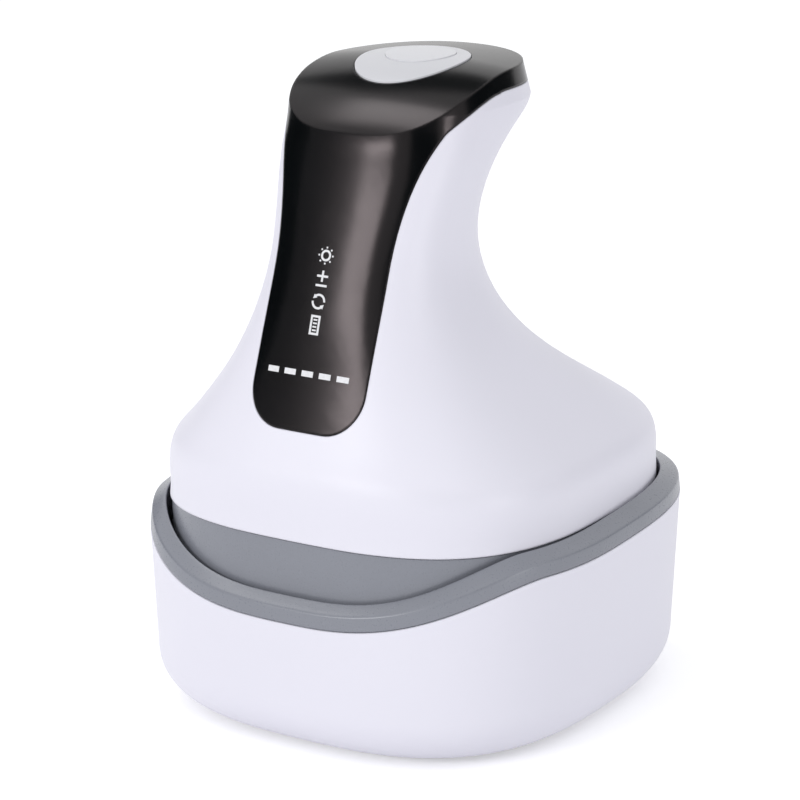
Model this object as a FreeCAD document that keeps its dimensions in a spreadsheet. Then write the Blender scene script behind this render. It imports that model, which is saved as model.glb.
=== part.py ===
import FreeCAD, Part

import math
import os
import re

# Four-head scalp massager standing in its storage base.
# Frame: origin under the middle of the base, +Z up, the black panel faces -Y and the nose +Y.

VECTOR = FreeCAD.Vector
UP = VECTOR(0, 0, 1)

# Counts
GEAR_TEETH = 44
PINION_TEETH = 12
IDLER_TEETH = 48
OUTER_FINGERS = 9
INNER_FINGERS = 5
DEDENDUM = 1.25
RING_POINTS = 48
RIM_POINTS = 96
FLANK_STEPS = 4
EDGE_STEPS = 6

# Driving dimensions in millimetres; angles in degrees
DRIVING = {
    # base
    "base_half_width": 57.0,
    "base_half_depth": 59.2,
    "base_square": 2.75,
    "base_draft": 0.04,
    "base_round": 12.0,
    "base_wall": 2.4,
    "base_floor": 2.6,
    "foot_stand": 0.8,
    "foot_radius": 6.0,
    "foot_height": 1.8,
    "foot_reach": 28.0,
    "rim_level": 45.0,
    "rim_dip": 12.4,
    "dip_half_angle": 60.5,
    "dip_sharpness": 1.5,
    "rim_back_rise": 1.8,
    "back_rise_angle": 70.0,
    "rim_inner_lead": 1.05,
    "rim_lean": 0.4,
    "rim_band": 3.6,
    "rim_slope_top": 4.9,
    "rim_height": 5.6,
    "rim_bevel": 1.0,
    "rim_skirt": 4.0,
    "rim_seat_gap": 0.1,
    "rim_skirt_gap": 0.2,
    "rib_skirt_gap": 0.4,
    "shell_gap": 0.8,
    "seat_rib_width": 15.0,
    "seat_rib_inner": 40.5,
    "seat_pad_thick": 0.8,
    "seat_pad_length": 6.5,
    "seat_pad_width": 13.0,
    # shell and panel walls
    "shell_square": 2.9,
    "head_square": 2.25,
    "shell_wall": 3.2,
    "panel_wall": 1.8,
    "panel_gap": 0.15,
    "panel_seat_gap": 0.1,
    "panel_ledge": 3.0,
    "head_ledge": 1.5,
    "strip_half": 14.8,
    "strip_bottom": 74.6,
    "strip_corner": 9.0,
    "strip_flare_start": 109.0,
    "strip_flare_radius": 76.1,
    "strip_end": -4.0,
    "crown_top": 151.7,
    "crown_crest_y": 2.95,
    "crown_front_radius": 46.4,
    "crown_back_radius": 388.0,
    "crown_cross_radius": 185.0,
    "panel_head_top": 146.0,
    "panel_crest_y": 0.0,
    "panel_front_radius": 38.0,
    "panel_back_radius": 900.0,
    "arc_front": -36.0,
    "arc_back": 34.0,
    "tool_reach": 30.0,
    "tool_pass": 1.0,
    "tool_turn": 15.0,
    # lower housing, deck and screws
    "housing_bottom": 32.0,
    "housing_floor": 2.5,
    "housing_wall": 2.2,
    "housing_round": 5.0,
    "housing_inset": 0.4,
    "seam_gap": 0.3,
    "deck_thick": 3.0,
    "deck_margin": 1.0,
    "pillar_reach_side": 43.2,
    "pillar_reach_end": 45.0,
    "pillar_radius": 3.6,
    "shell_boss_height": 10.0,
    "screw_radius": 1.5,
    "screw_play": 0.05,
    "screw_head_radius": 2.8,
    "screw_head_height": 2.2,
    "screw_sink": 0.4,
    "screw_grip": 8.0,
    # gears and spindles
    "gear_module": 1.0,
    "stage_module": 0.6,
    "motor_module": 0.5,
    "pressure_angle": 25.0,
    "tooth_play": 0.12,
    "fine_tooth_play": 0.08,
    "gear_float": 1.5,
    "gear_width": 4.0,
    "stage_width": 3.0,
    "stage_gap": 1.5,
    "spindle_radius": 3.0,
    "journal_radius": 2.5,
    "running_fit": 0.05,
    "bush_radius": 5.0,
    "seal_radius": 5.6,
    "seal_height": 1.8,
    "boss_radius": 7.5,
    "boss_drop": 2.5,
    "idler_pin_radius": 1.5,
    "idler_pin_head": 0.8,
    "idler_head_radius": 2.25,
    "first_neck_radius": 3.0,
    "second_neck_radius": 2.4,
    "motor_angle": 220.0,
    # heads
    "hub_gap": 1.0,
    "hub_radius": 18.2,
    "hub_thick": 5.0,
    "hub_chamfer": 2.0,
    "drive_across": 5.0,
    "drive_play": 0.06,
    "pad_radius": 19.0,
    "pad_thick": 4.0,
    "finger_length": 12.0,
    "finger_root": 2.7,
    "finger_tip": 1.8,
    "outer_ring": 15.0,
    "inner_ring": 7.8,
    # motor
    "motor_radius": 12.0,
    "motor_height": 30.0,
    "motor_nose_radius": 3.0,
    "motor_nose_gap": 0.9,
    "motor_cap_radius": 9.5,
    "motor_cap_height": 2.0,
    "motor_shaft_radius": 1.0,
    "motor_shaft_inside": 9.0,
    "motor_screw_reach": 8.0,
    "motor_screw_radius": 1.2,
    "motor_screw_grip": 3.0,
    "motor_screw_head": 2.2,
    "motor_screw_head_height": 1.2,
    # battery
    "cell_radius": 9.2,
    "cell_length": 65.0,
    "cell_play": 0.1,
    "cell_offset": 22.0,
    "holder_wall": 1.2,
    "holder_height": 12.0,
    # control board behind the panel strip
    "board_height": 104.0,
    "board_depth": 7.0,
    "board_half_width": 11.0,
    "board_half_length": 19.0,
    "board_thick": 1.6,
    "board_post_reach": 16.5,
    "board_post_radius": 2.2,
    "board_screw_radius": 0.9,
    "board_screw_head": 2.0,
    "board_screw_head_height": 1.4,
    "board_screw_grip": 3.5,
    "icon_pitch": 4.9,
    "icon_centre": 0.9,
    "led_size": 2.0,
    "led_height": 1.2,
    "guide_gap": 0.2,
    "guide_half_width": 3.0,
    "guide_thick": 2.4,
    "guide_margin": 3.0,
    "guide_leg": 1.5,
    # power button and its switch
    "plate_y": -2.0,
    "plate_half_width": 12.85,
    "plate_half_length": 14.1,
    "plate_column": 8.0,
    "plate_sink": 1.1,
    "plate_rise": 0.3,
    "plate_seat_gap": 0.1,
    "plate_side_gap": 0.15,
    "button_y": 1.4,
    "button_radius": 8.0,
    "button_rise": 0.5,
    "button_gap": 0.2,
    "button_flange": 1.0,
    "button_flange_height": 1.0,
    "button_flange_drop": 4.5,
    "button_stem_radius": 2.0,
    "button_stem_drop": 0.6,
    "button_travel": 0.8,
    "plunger_radius": 1.5,
    "plunger_length": 2.1,
    "plunger_play": 0.15,
    "switch_side": 6.0,
    "switch_height": 2.6,
    "switch_well": 2.0,
    "plunger_reach": 1.2,
    "switch_board_radius": 14.0,
    "switch_board_thick": 1.2,
    "switch_post_reach": 12.0,
    "switch_post_radius": 1.5,
    # charging socket and its cover
    "charge_board_half": 8.5,
    "charge_board_length": 11.0,
    "charge_board_thick": 1.2,
    "charge_board_lift": 1.0,
    "charge_board_clear": 0.6,
    "board_lift_radius": 2.0,
    "socket_half_width": 4.5,
    "socket_height": 3.3,
    "socket_length": 7.0,
    "socket_wall": 0.5,
    "port_half_width": 5.0,
    "port_half_height": 2.2,
    "cover_half_width": 7.0,
    "cover_half_height": 4.2,
    "cover_thick": 1.4,
    "cover_sink": 0.3,
    "cover_gap": 0.3,
    "cover_pin_radius": 0.5,
    "cover_pin_reach": 1.2,
}

# Level sections of the grip, from the hem up: height, half width, front and back reach
STATIONS = (
    ("hem", 50.5, 51.6, -54.2, 52.4),
    ("band", 56.0, 51.5, -54.1, 52.3),
    ("band_top", 61.5, 51.3, -54.0, 52.1),
    ("shoulder", 65.0, 50.0, -53.4, 51.0),
    ("slope_low", 68.5, 46.9, -52.0, 47.6),
    ("slope", 76.0, 39.6, -49.2, 36.0),
    ("slope_high", 86.0, 31.4, -46.0, 21.6),
    ("neck", 98.0, 25.0, -42.4, 10.6),
    ("waist", 110.0, 22.2, -38.5, 5.2),
    ("throat", 122.0, 22.6, -34.6, 4.4),
    ("chin", 132.0, 24.0, -31.4, 11.0),
    ("nose", 138.0, 24.6, -29.7, 20.4),
    ("nose_round", 141.2, 24.9, -29.2, 25.3),
    ("lip", 142.8, 24.95, -28.95, 26.4),
    ("head", 146.0, 24.3, -28.4, 25.4),
    ("crown", 158.0, 22.4, -27.0, 21.5),
)
STATION_SIZES = ("height", "half", "front", "back")
LIP = [name for name, *sizes in STATIONS].index("lip")
for name, *values in STATIONS:
    for word, value in zip(STATION_SIZES, values):
        DRIVING[f"{name}_{word}"] = value

# Levels and centres worked out from the driving dimensions
DERIVED = {
    "axis_y": "(hem_front + hem_back) / 2",
    "seat_pad_low": "housing_bottom - seat_pad_thick",
    "housing_top": "hem_height - seam_gap",
    "floor_top": "housing_bottom + housing_floor",
    "gear_low": "floor_top + gear_float",
    "gear_high": "gear_low + gear_width",
    "first_low": "gear_high + stage_gap",
    "first_high": "first_low + stage_width",
    "second_low": "first_high + stage_gap",
    "second_high": "second_low + stage_width",
    "deck_low": "second_high + stage_gap",
    "deck_top": "deck_low + deck_thick",
    "boss_low": "housing_bottom - boss_drop",
    "seal_top": "boss_low + seal_height",
    "bush_top": "floor_top + gear_float / 2",
    "hub_top": "boss_low - hub_gap",
    "hub_low": "hub_top - hub_thick",
    "pad_low": "hub_low - pad_thick",
    "head_spread": f"{GEAR_TEETH} * gear_module / 2",
    "first_reach": f"({GEAR_TEETH} + {PINION_TEETH}) * gear_module / 2",
    "first_x": "head_spread - first_reach * sqrt(2) / 2",
    "first_y": "axis_y + head_spread - first_reach * sqrt(2) / 2",
    "second_reach": f"({IDLER_TEETH} + {PINION_TEETH}) * stage_module / 2",
    "second_x": "first_x + second_reach",
    "second_y": "first_y",
    "motor_reach": f"({IDLER_TEETH} + {PINION_TEETH}) * motor_module / 2",
    "motor_x": "second_x + motor_reach * cos(motor_angle)",
    "motor_y": "second_y + motor_reach * sin(motor_angle)",
    "cell_y": "axis_y + cell_offset",
    "cell_z": "deck_top + holder_wall + cell_play + cell_radius",
    "flange_top": "crown_top - button_flange_drop + button_flange_height",
    "flange_low": "crown_top - button_flange_drop",
    "stem_low": "flange_low - button_stem_drop",
    "plunger_low": "stem_low - plunger_length",
    "switch_top": "plunger_low + plunger_reach",
    "switch_low": "switch_top - switch_height",
    "switch_board_low": "switch_low - switch_board_thick",
    "charge_board_low": "deck_top + charge_board_lift",
    "charge_board_top": "charge_board_low + charge_board_thick",
    "charge_board_end": "hem_back - shell_wall - charge_board_clear",
    "cover_face": "band_back - cover_sink",
    "port_z": "charge_board_top + socket_height / 2",
    "cover_low": "port_z - cover_half_height",
    "cover_round": "cover_thick / 2",
    "hinge_y": "cover_face - cover_round",
    "hinge_z": "cover_low + cover_round",
}

WORDS = re.compile(r"[a-z_]+")


def linked(text):
    """Writes each size's sheet before its name."""

    def prefixed(match):
        word = match.group(0)
        if word in DRIVING:
            return "Sizes." + word
        if word in DERIVED:
            return "Levels." + word
        return word

    return WORDS.sub(prefixed, text)


doc = FreeCAD.newDocument("scalp_massager")
sizes = doc.addObject("Spreadsheet::Sheet", "Sizes")
for row, (alias, value) in enumerate(DRIVING.items(), start=1):
    sizes.set(f"A{row}", alias)
    sizes.set(f"B{row}", str(value))
    sizes.setAlias(f"B{row}", alias)
doc.recompute()
levels = doc.addObject("Spreadsheet::Sheet", "Levels")
for row, (alias, text) in enumerate(DERIVED.items(), start=1):
    levels.set(f"A{row}", alias)
    levels.set(f"B{row}", "=" + linked(text))
    levels.setAlias(f"B{row}", alias)
doc.recompute()

NODES = []


def size(name):
    """Reads a driving or a worked-out size."""
    sheet = sizes if name in DRIVING else levels
    return float(getattr(sheet, name))


def node(thing, label):
    """Names a finished sub-part."""
    thing.Label = label
    NODES.append(thing)
    return thing


def bind(thing, **texts):
    """Ties an object's properties to the sheets."""
    for prop, text in texts.items():
        thing.setExpression(prop, linked(text))
    return thing


def move(thing, x="0", y="0", z="0"):
    """Ties an object's place to the sheets."""
    for axis, text in zip("xyz", (x, y, z)):
        thing.setExpression(f"Placement.Base.{axis}", linked(text))
    return thing


def cylinder(name, radius, height, x="0", y="0", z="0"):
    """An upright cylinder standing on (x, y, z)."""
    thing = doc.addObject("Part::Cylinder", name)
    return move(bind(thing, Radius=radius, Height=height), x, y, z)


def lying(name, radius, half_length, y, z):
    """A cylinder along X, centred on the middle plane."""
    thing = cylinder(name, radius, f"2 * ({half_length})", f"-({half_length})", y, z)
    thing.Placement.Rotation = FreeCAD.Rotation(VECTOR(0, 1, 0), 90)
    return thing


def block(name, length, width, height, x, y, z):
    """A box from its lowest corner (x, y, z)."""
    thing = doc.addObject("Part::Box", name)
    return move(bind(thing, Length=length, Width=width, Height=height), x, y, z)


def hexagon(name, across, height, x, y, z):
    """An upright hexagonal bar, given across its flats."""
    thing = doc.addObject("Part::Prism", name)
    thing.Polygon = 6
    return move(bind(thing, Circumradius=f"({across}) / (2 * cos(30))", Height=height), x, y, z)


def fuse(name, things):
    """One solid from several objects."""
    thing = doc.addObject("Part::MultiFuse", name)
    thing.Shapes = things
    return thing


def cut(name, base, tools):
    """Takes tools away from base."""
    thing = doc.addObject("Part::Cut", name)
    thing.Base = base
    thing.Tool = tools[0] if len(tools) == 1 else fuse(name + "_tools", tools)
    return thing


def group(name, things):
    """Separate solids kept as one node."""
    thing = doc.addObject("Part::Compound", name)
    thing.Links = things
    return thing


def formed(name, shape):
    """An object whose shape comes from a formula."""
    thing = doc.addObject("Part::Feature", name)
    thing.Shape = shape
    return thing


# Closed curves and the forms lofted through them


def signed_power(value, power):
    return math.copysign(abs(value) ** power, value)


def closed_edge(points):
    """A smooth closed curve; every curve of one count shares its parameters."""
    curve = Part.BSplineCurve()
    steps = [float(k) for k in range(len(points) + 1)]
    curve.interpolate(Points=points, Parameters=steps, PeriodicFlag=True)
    return curve.toShape()


def squared_points(half, front, back, front_square, back_square, count):
    """Plan points of a rounded square, from the back middle by way of -X."""
    middle = (front + back) / 2
    reach = (back - front) / 2
    points = []
    for k in range(count):
        angle = math.pi / 2 + 2 * math.pi * k / count
        across = math.cos(angle)
        along = math.sin(angle)
        power = 2 / (front_square if along < 0 else back_square)
        points.append((half * signed_power(across, power), middle + reach * signed_power(along, power)))
    return points


def level_ring(half, front, back, front_square, back_square, z):
    """A closed level wire."""
    plan = squared_points(half, front, back, front_square, back_square, RING_POINTS)
    return Part.Wire([closed_edge([VECTOR(x, y, z) for x, y in plan])])


def loft(rings, ruled=False):
    return Part.makeLoft(rings, True, ruled)


def rounded_form(ring_at, low, round_radius, high):
    """A solid with a rounded lower edge; ring_at gives its outline at an inset and a height."""
    rings = []
    for k in range(EDGE_STEPS + 1):
        turn = math.pi / 2 * k / EDGE_STEPS
        inset = round_radius * (1 - math.sin(turn))
        rings.append(ring_at(inset, low + round_radius * (1 - math.cos(turn))))
    wall = loft([rings[-1], ring_at(0.0, high)], ruled=True)
    return loft(rings).fuse(wall)


def base_form(inset, low, round_radius, high):
    """The base's tapered body, drawn in by inset."""

    def ring_at(edge, z):
        taper = size("base_draft") * (size("rim_level") - z) + inset + edge
        half = size("base_half_width") - taper
        reach = size("base_half_depth") - taper
        square = size("base_square")
        return level_ring(half, -reach, reach, square, square, z)

    return rounded_form(ring_at, low, round_radius, high)


def rim_rise(x, y, lead=1.0):
    """Height of the rim's lower line: a dip centred on the front and a slight rise to the back.

    A lead over 1 narrows the dip.
    """
    angle = min(abs(math.degrees(math.atan2(x, -y))) * lead, 180.0)
    share = min(angle / size("dip_half_angle"), 1.0)
    lift = math.sin(math.pi / 2 * share ** size("dip_sharpness")) ** 2
    past = max(angle - size("dip_half_angle"), 0.0)
    rise = math.sin(math.pi / 2 * min(past / size("back_rise_angle"), 1.0)) ** 2
    return size("rim_level") - size("rim_dip") * (1 - lift) + size("rim_back_rise") * rise


def wavy_edge(plan, guide, height, lead=1.0):
    """A closed curve over plan points, which follows the rim's line at the guide points."""
    return closed_edge([VECTOR(x, y, rim_rise(*at, lead) + height) for (x, y), at in zip(plan, guide)])


def ring_solid(edges):
    """A closed ring whose section has one corner on each closed curve."""
    faces = [Part.makeRuledSurface(edges[k - 1], edges[k]) for k in range(len(edges))]
    skin = Part.makeCompound(faces)
    skin.sewShape()
    solid = Part.makeSolid(skin.Shells[0])
    if solid.Volume < 0:
        solid.reverse()
    return solid


def rim_plan(inset, drop=0.0):
    """The tapered base's outline along the rim's line or under it by drop, inset from its outer face."""
    half = size("base_half_width") - inset
    reach = size("base_half_depth") - inset
    square = size("base_square")
    points = []
    for k, (x, y) in enumerate(squared_points(half, -reach, reach, square, square, RIM_POINTS)):
        taper = size("base_draft") * (size("rim_level") - rim_rise(x, y) + drop)
        tapered = squared_points(half - taper, taper - reach, reach - taper, square, square, RIM_POINTS)
        points.append(tapered[k])
    return points


def opening_plan(growth):
    """The outline round the grip's hem, grown outwards."""
    half = size("hem_half") + growth
    front = size("hem_front") - growth
    back = size("hem_back") + growth
    square = size("shell_square")
    return squared_points(half, front, back, square, square, RIM_POINTS)


def back_square(z):
    """Squareness of the grip's back: square at the shoulder, rounder at the waist."""
    share = (z - size("shoulder_height")) / (size("waist_height") - size("shoulder_height"))
    share = min(max(share, 0.0), 1.0)
    return size("shell_square") + share * (size("head_square") - size("shell_square"))


def station_ring(name, inset, z):
    """The grip's section at a station, drawn in by inset."""
    return level_ring(
        size(name + "_half") - inset,
        size(name + "_front") + inset,
        size(name + "_back") - inset,
        size("shell_square"),
        back_square(size(name + "_height")),
        z,
    )


def above_arcs(top, crest_y, front_radius, back_radius):
    """The upright region above two arcs that meet at a crest, as a face in the middle plane."""
    front_turn = math.asin((size("arc_front") - crest_y) / front_radius)
    back_turn = math.asin((size("arc_back") - crest_y) / back_radius)

    def on_arc(radius, turn):
        return VECTOR(0, crest_y + radius * math.sin(turn), top - radius + radius * math.cos(turn))

    start = on_arc(front_radius, front_turn)
    crest = VECTOR(0, crest_y, top)
    end = on_arc(back_radius, back_turn)
    arcs = [
        Part.Arc(start, on_arc(front_radius, front_turn / 2), crest).toShape(),
        Part.Arc(crest, on_arc(back_radius, back_turn / 2), end).toShape(),
    ]
    roof = size("crown_top") + size("tool_reach")
    ahead = size("hem_front") - size("tool_reach")
    corners = [end, VECTOR(0, end.y, roof), VECTOR(0, ahead, roof), VECTOR(0, ahead, start.z), start]
    lines = [Part.makeLine(a, b) for a, b in zip(corners, corners[1:])]
    return Part.Face(Part.Wire(arcs + lines))


def crown_tool(inset):
    """What lies above the crowned top, lowered by inset."""
    axis_at = VECTOR(0, 0, size("crown_top") - size("crown_cross_radius"))
    face = above_arcs(
        size("crown_top") - inset,
        size("crown_crest_y"),
        size("crown_front_radius") - inset,
        size("crown_back_radius") - inset,
    )
    face.rotate(axis_at, VECTOR(0, 1, 0), -size("tool_turn"))
    return face.revolve(axis_at, VECTOR(0, 1, 0), 2 * size("tool_turn"))


def grip_form(inset, drop=0.0):
    """The whole grip drawn in by inset; drop lengthens it below the hem."""
    names = [name for name, *values in STATIONS]
    rings = [station_ring(name, inset, size(name + "_height")) for name in names]
    lower = rings[: LIP + 1]
    if drop:
        lower = [station_ring(names[0], inset, size("hem_height") - drop)] + lower
    whole = loft(lower).fuse(loft(rings[LIP:]))
    return whole.cut(crown_tool(inset))


def strip_zone(growth):
    """The panel's front strip, drawn in the front view and carried through to the inside."""
    half = size("strip_half") + growth
    low = size("strip_bottom") - growth
    corner = size("strip_corner") + growth
    flare = size("strip_flare_radius") - growth
    flare_z = size("strip_flare_start")
    high = size("crown_top")
    ahead = size("hem_front") - size("tool_reach")

    def flare_x(z):
        return half + flare - math.sqrt(flare**2 - (z - flare_z) ** 2)

    def point(x, z):
        return VECTOR(x, ahead, z)

    slant = corner * (1 - math.sqrt(0.5))
    side = []
    for sign in (1, -1):
        side.append([
            Part.Arc(
                point(sign * (half - corner), low),
                point(sign * (half - slant), low + slant),
                point(sign * half, low + corner),
            ).toShape(),
            Part.makeLine(point(sign * half, low + corner), point(sign * half, flare_z)),
            Part.Arc(
                point(sign * half, flare_z),
                point(sign * flare_x((flare_z + high) / 2), (flare_z + high) / 2),
                point(sign * flare_x(high), high),
            ).toShape(),
        ])
    top = Part.makeLine(point(flare_x(high), high), point(-flare_x(high), high))
    bottom = Part.makeLine(point(-(half - corner), low), point(half - corner, low))
    wire = Part.Wire(Part.__sortEdges__(side[0] + [top] + side[1] + [bottom]))
    return Part.Face(wire).extrude(VECTOR(0, size("strip_end") - ahead, 0))


def panel_zone(growth, head_growth):
    """All that the panel covers: the strip and the top of the head, each with its growth."""
    reach = size("hem_half")
    face = above_arcs(
        size("panel_head_top") - head_growth,
        size("panel_crest_y"),
        size("panel_front_radius"),
        size("panel_back_radius"),
    )
    face.translate(VECTOR(-reach, 0, 0))
    return face.extrude(VECTOR(2 * reach, 0, 0)).fuse(strip_zone(growth))


def upright_oval(half_x, half_y, y, low, high):
    """An upright elliptical column."""
    ellipse = Part.Ellipse(VECTOR(0, 0, low), max(half_x, half_y), min(half_x, half_y))
    face = Part.Face(Part.Wire([ellipse.toShape()]))
    if half_y > half_x:
        face.rotate(VECTOR(0, 0, low), UP, 90)
    face.translate(VECTOR(0, y, 0))
    return face.extrude(VECTOR(0, 0, high - low))


def side_walls():
    """Outward directions of the right, left, front and back walls."""
    return VECTOR(1, 0, 0), VECTOR(-1, 0, 0), VECTOR(0, -1, 0), VECTOR(0, 1, 0)


def pillar_places():
    """The case screws' places, as pairs of expressions; the back wall has the charging port instead."""
    return (
        ("pillar_reach_side", "axis_y"),
        ("-pillar_reach_side", "axis_y"),
        ("0", "axis_y - pillar_reach_end"),
    )


def pillar_points():
    """The same places as points, each with the direction of its wall."""
    middle = VECTOR(0, size("axis_y"), 0)
    reaches = (size("pillar_reach_side"), size("pillar_reach_side"), size("pillar_reach_end"))
    return [(middle + outward * reach, outward) for outward, reach in zip(side_walls(), reaches)]


def spindle_signs():
    return ((1, 1), (-1, 1), (-1, -1), (1, -1))


def spindle_place(signs):
    """A spindle's place as expressions."""
    return f"{signs[0]} * head_spread", f"axis_y + {signs[1]} * head_spread"


# Base

outer_base = base_form(0.0, size("foot_stand"), size("base_round"), size("rim_level") + size("rim_height"))
inner_round = size("base_round") - size("base_wall")
inner_base = base_form(
    size("base_wall"),
    size("foot_stand") + size("base_floor"),
    inner_round,
    size("rim_level") + 2 * size("rim_height"),
)
guide_plan = rim_plan(0.0)
beyond = 2 * size("base_wall")
wavy_tool = ring_solid([
    wavy_edge(rim_plan(-beyond), guide_plan, 0.0),
    wavy_edge(rim_plan(beyond), guide_plan, 0.0),
    wavy_edge(rim_plan(beyond), guide_plan, size("rim_dip") + 3 * size("rim_height")),
    wavy_edge(rim_plan(-beyond), guide_plan, size("rim_dip") + 3 * size("rim_height")),
])
rib_room = base_form(size("base_wall") / 2, size("foot_stand") + size("base_floor") / 2, inner_round,
                     size("rim_level"))
cup = outer_base.cut(inner_base).cut(wavy_tool)
skirt_room_low = -size("rim_skirt") - size("rib_skirt_gap")
skirt_room_inner = opening_plan(size("shell_gap") - size("rib_skirt_gap"))
skirt_room = ring_solid([
    wavy_edge(rim_plan(0.0), guide_plan, skirt_room_low),
    wavy_edge(skirt_room_inner, guide_plan, skirt_room_low),
    wavy_edge(skirt_room_inner, guide_plan, size("rim_height")),
    wavy_edge(rim_plan(0.0), guide_plan, size("rim_height")),
])
rib_height = size("seat_pad_low")
rib_width = size("seat_rib_width")
for outward in side_walls():
    across = VECTOR(-outward.y, outward.x, 0)
    start = outward * size("seat_rib_inner") - across * (rib_width / 2)
    reach = size("base_half_depth") - size("seat_rib_inner")
    corners = [start, start + across * rib_width, start + across * rib_width + outward * reach,
               start + outward * reach, start]
    rib = Part.Face(Part.makePolygon(corners)).extrude(UP * rib_height)
    cup = cup.fuse(rib.common(rib_room).cut(skirt_room))
for x in (-1, 1):
    for y in (-1, 1):
        at = VECTOR(x * size("foot_reach"), y * size("foot_reach"), 0)
        cup = cup.cut(Part.makeCylinder(size("foot_radius"), size("foot_height"), at))
node(formed("BaseShell", cup), "base_shell")

rim_inner = opening_plan(size("shell_gap"))
rim_bevel_plan = opening_plan(size("shell_gap") + size("rim_bevel"))
skirt_inset = size("base_wall") + size("rim_skirt_gap")
skirt_plan = rim_plan(skirt_inset)
skirt_foot_plan = rim_plan(skirt_inset, size("rim_skirt"))
seat = size("rim_seat_gap")
lead = size("rim_inner_lead")
rim = ring_solid([
    wavy_edge(rim_plan(0.0), guide_plan, seat),
    wavy_edge(rim_plan(size("rim_lean")), guide_plan, size("rim_band")),
    wavy_edge(rim_bevel_plan, guide_plan, size("rim_slope_top"), lead),
    wavy_edge(rim_inner, guide_plan, size("rim_height"), lead),
    wavy_edge(rim_inner, guide_plan, -size("rim_skirt")),
    wavy_edge(skirt_foot_plan, guide_plan, -size("rim_skirt")),
    wavy_edge(skirt_plan, guide_plan, seat),
])
node(formed("BaseRim", rim), "base_rim")

feet = []
for x in (-1, 1):
    for y in (-1, 1):
        feet.append(cylinder("Foot", "foot_radius", "foot_height", f"{x} * foot_reach", f"{y} * foot_reach"))
node(group("Feet", feet), "base_feet")

pads = []
for sign in (-1, 1):
    side_x = "seat_rib_inner" if sign > 0 else "-seat_rib_inner - seat_pad_length"
    pads.append(block("SidePad", "seat_pad_length", "seat_pad_width", "seat_pad_thick",
                      side_x, "-seat_pad_width / 2", "seat_pad_low"))
    end_y = "seat_rib_inner" if sign > 0 else "-seat_rib_inner - seat_pad_length"
    pads.append(block("EndPad", "seat_pad_width", "seat_pad_length", "seat_pad_thick",
                      "-seat_pad_width / 2", end_y, "seat_pad_low"))
node(group("SeatPads", pads), "seat_pads")

# Grip: white shell, black panel, button plate and power button

outer_grip = grip_form(0.0)
panel_back = grip_form(size("panel_wall"), size("tool_pass"))
panel_seat = grip_form(size("panel_wall") + size("panel_seat_gap"), size("tool_pass"))
shell_inside = grip_form(size("shell_wall"), size("tool_pass"))
half_wall_form = grip_form(size("panel_wall") / 2)

recess = panel_zone(size("panel_gap"), size("panel_gap")).cut(panel_seat)
window = panel_zone(-size("panel_ledge"), -size("head_ledge"))
shell = outer_grip.cut(shell_inside).cut(recess).cut(window)
boss_low = size("deck_top")
boss_height = size("shell_boss_height")
for place, outward in pillar_points():
    start = place + UP * boss_low
    boss = Part.makeCylinder(size("pillar_radius"), boss_height, start)
    web_half = size("screw_radius")
    across = VECTOR(-outward.y, outward.x, 0) * web_half
    reach = outward * (2 * size("pillar_radius"))
    corners = [start - across, start + across, start + across + reach, start - across + reach, start - across]
    web = Part.Face(Part.makePolygon(corners)).extrude(UP * boss_height)
    shell = shell.fuse(boss.fuse(web).common(half_wall_form))
    pilot = Part.makeCylinder(size("screw_radius") + size("screw_play"), boss_height, start)
    shell = shell.cut(pilot)
port_z = size("port_z")
pocket_half = size("cover_half_width") + size("cover_gap")
pocket_tall = size("cover_half_height") + size("cover_gap")
pocket_floor = size("cover_face") - size("cover_thick") - size("cover_gap")
pocket = Part.makeBox(2 * pocket_half, size("hem_back"), 2 * pocket_tall,
                      VECTOR(-pocket_half, pocket_floor, port_z - pocket_tall))
port_depth = 2 * size("shell_wall")
port_half = size("port_half_width")
port_tall = size("port_half_height")
port = Part.makeBox(2 * port_half, 2 * port_depth, 2 * port_tall,
                    VECTOR(-port_half, pocket_floor - port_depth, port_z - port_tall))
pin_hole_reach = size("cover_half_width") + size("cover_pin_reach") + size("cover_gap")
pin_hole = Part.makeCylinder(size("cover_pin_radius") + size("running_fit"), 2 * pin_hole_reach,
                             VECTOR(-pin_hole_reach, size("hinge_y"), size("hinge_z")), VECTOR(1, 0, 0))
node(formed("UpperShell", shell.cut(pocket).cut(port).cut(pin_hole)), "upper_shell")

button_y = size("button_y")
hole_radius = size("button_radius") + size("button_gap")
panel = outer_grip.common(panel_zone(0.0, 0.0)).cut(panel_back)
column_low = size("crown_top") - size("plate_column")
column_high = size("crown_top") + size("plate_column")
plate_column = upright_oval(size("plate_half_width"), size("plate_half_length"), size("plate_y"),
                            column_low, column_high)
pocket_column = upright_oval(
    size("plate_half_width") + size("plate_side_gap"),
    size("plate_half_length") + size("plate_side_gap"),
    size("plate_y"), column_low, column_high,
)
panel = panel.cut(pocket_column.common(crown_tool(size("plate_sink"))))
button_hole = Part.makeCylinder(hole_radius, column_high - column_low, VECTOR(0, button_y, column_low))
panel = panel.cut(button_hole)
for degrees in (90, 210, 330):
    turn = math.radians(degrees)
    reach = size("switch_post_reach")
    at = VECTOR(reach * math.cos(turn), button_y + reach * math.sin(turn), size("switch_low"))
    post = Part.makeCylinder(size("switch_post_radius"), size("crown_top") - at.z, at)
    panel = panel.fuse(post.cut(crown_tool(size("plate_sink") + size("panel_wall") / 4)))

front_slope = math.degrees(math.atan2(
    size("waist_front") - size("neck_front"), size("waist_height") - size("neck_height")
))
board_share = (size("board_height") - size("neck_height")) / (size("waist_height") - size("neck_height"))
front_at_board = size("neck_front") + board_share * (size("waist_front") - size("neck_front"))
board_turn = FreeCAD.Rotation(VECTOR(1, 0, 0), -front_slope)
board_at = VECTOR(0, front_at_board, size("board_height"))
board_at += board_turn.multVec(VECTOR(0, size("board_depth"), 0))
board_place = FreeCAD.Placement(board_at, board_turn)


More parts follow.
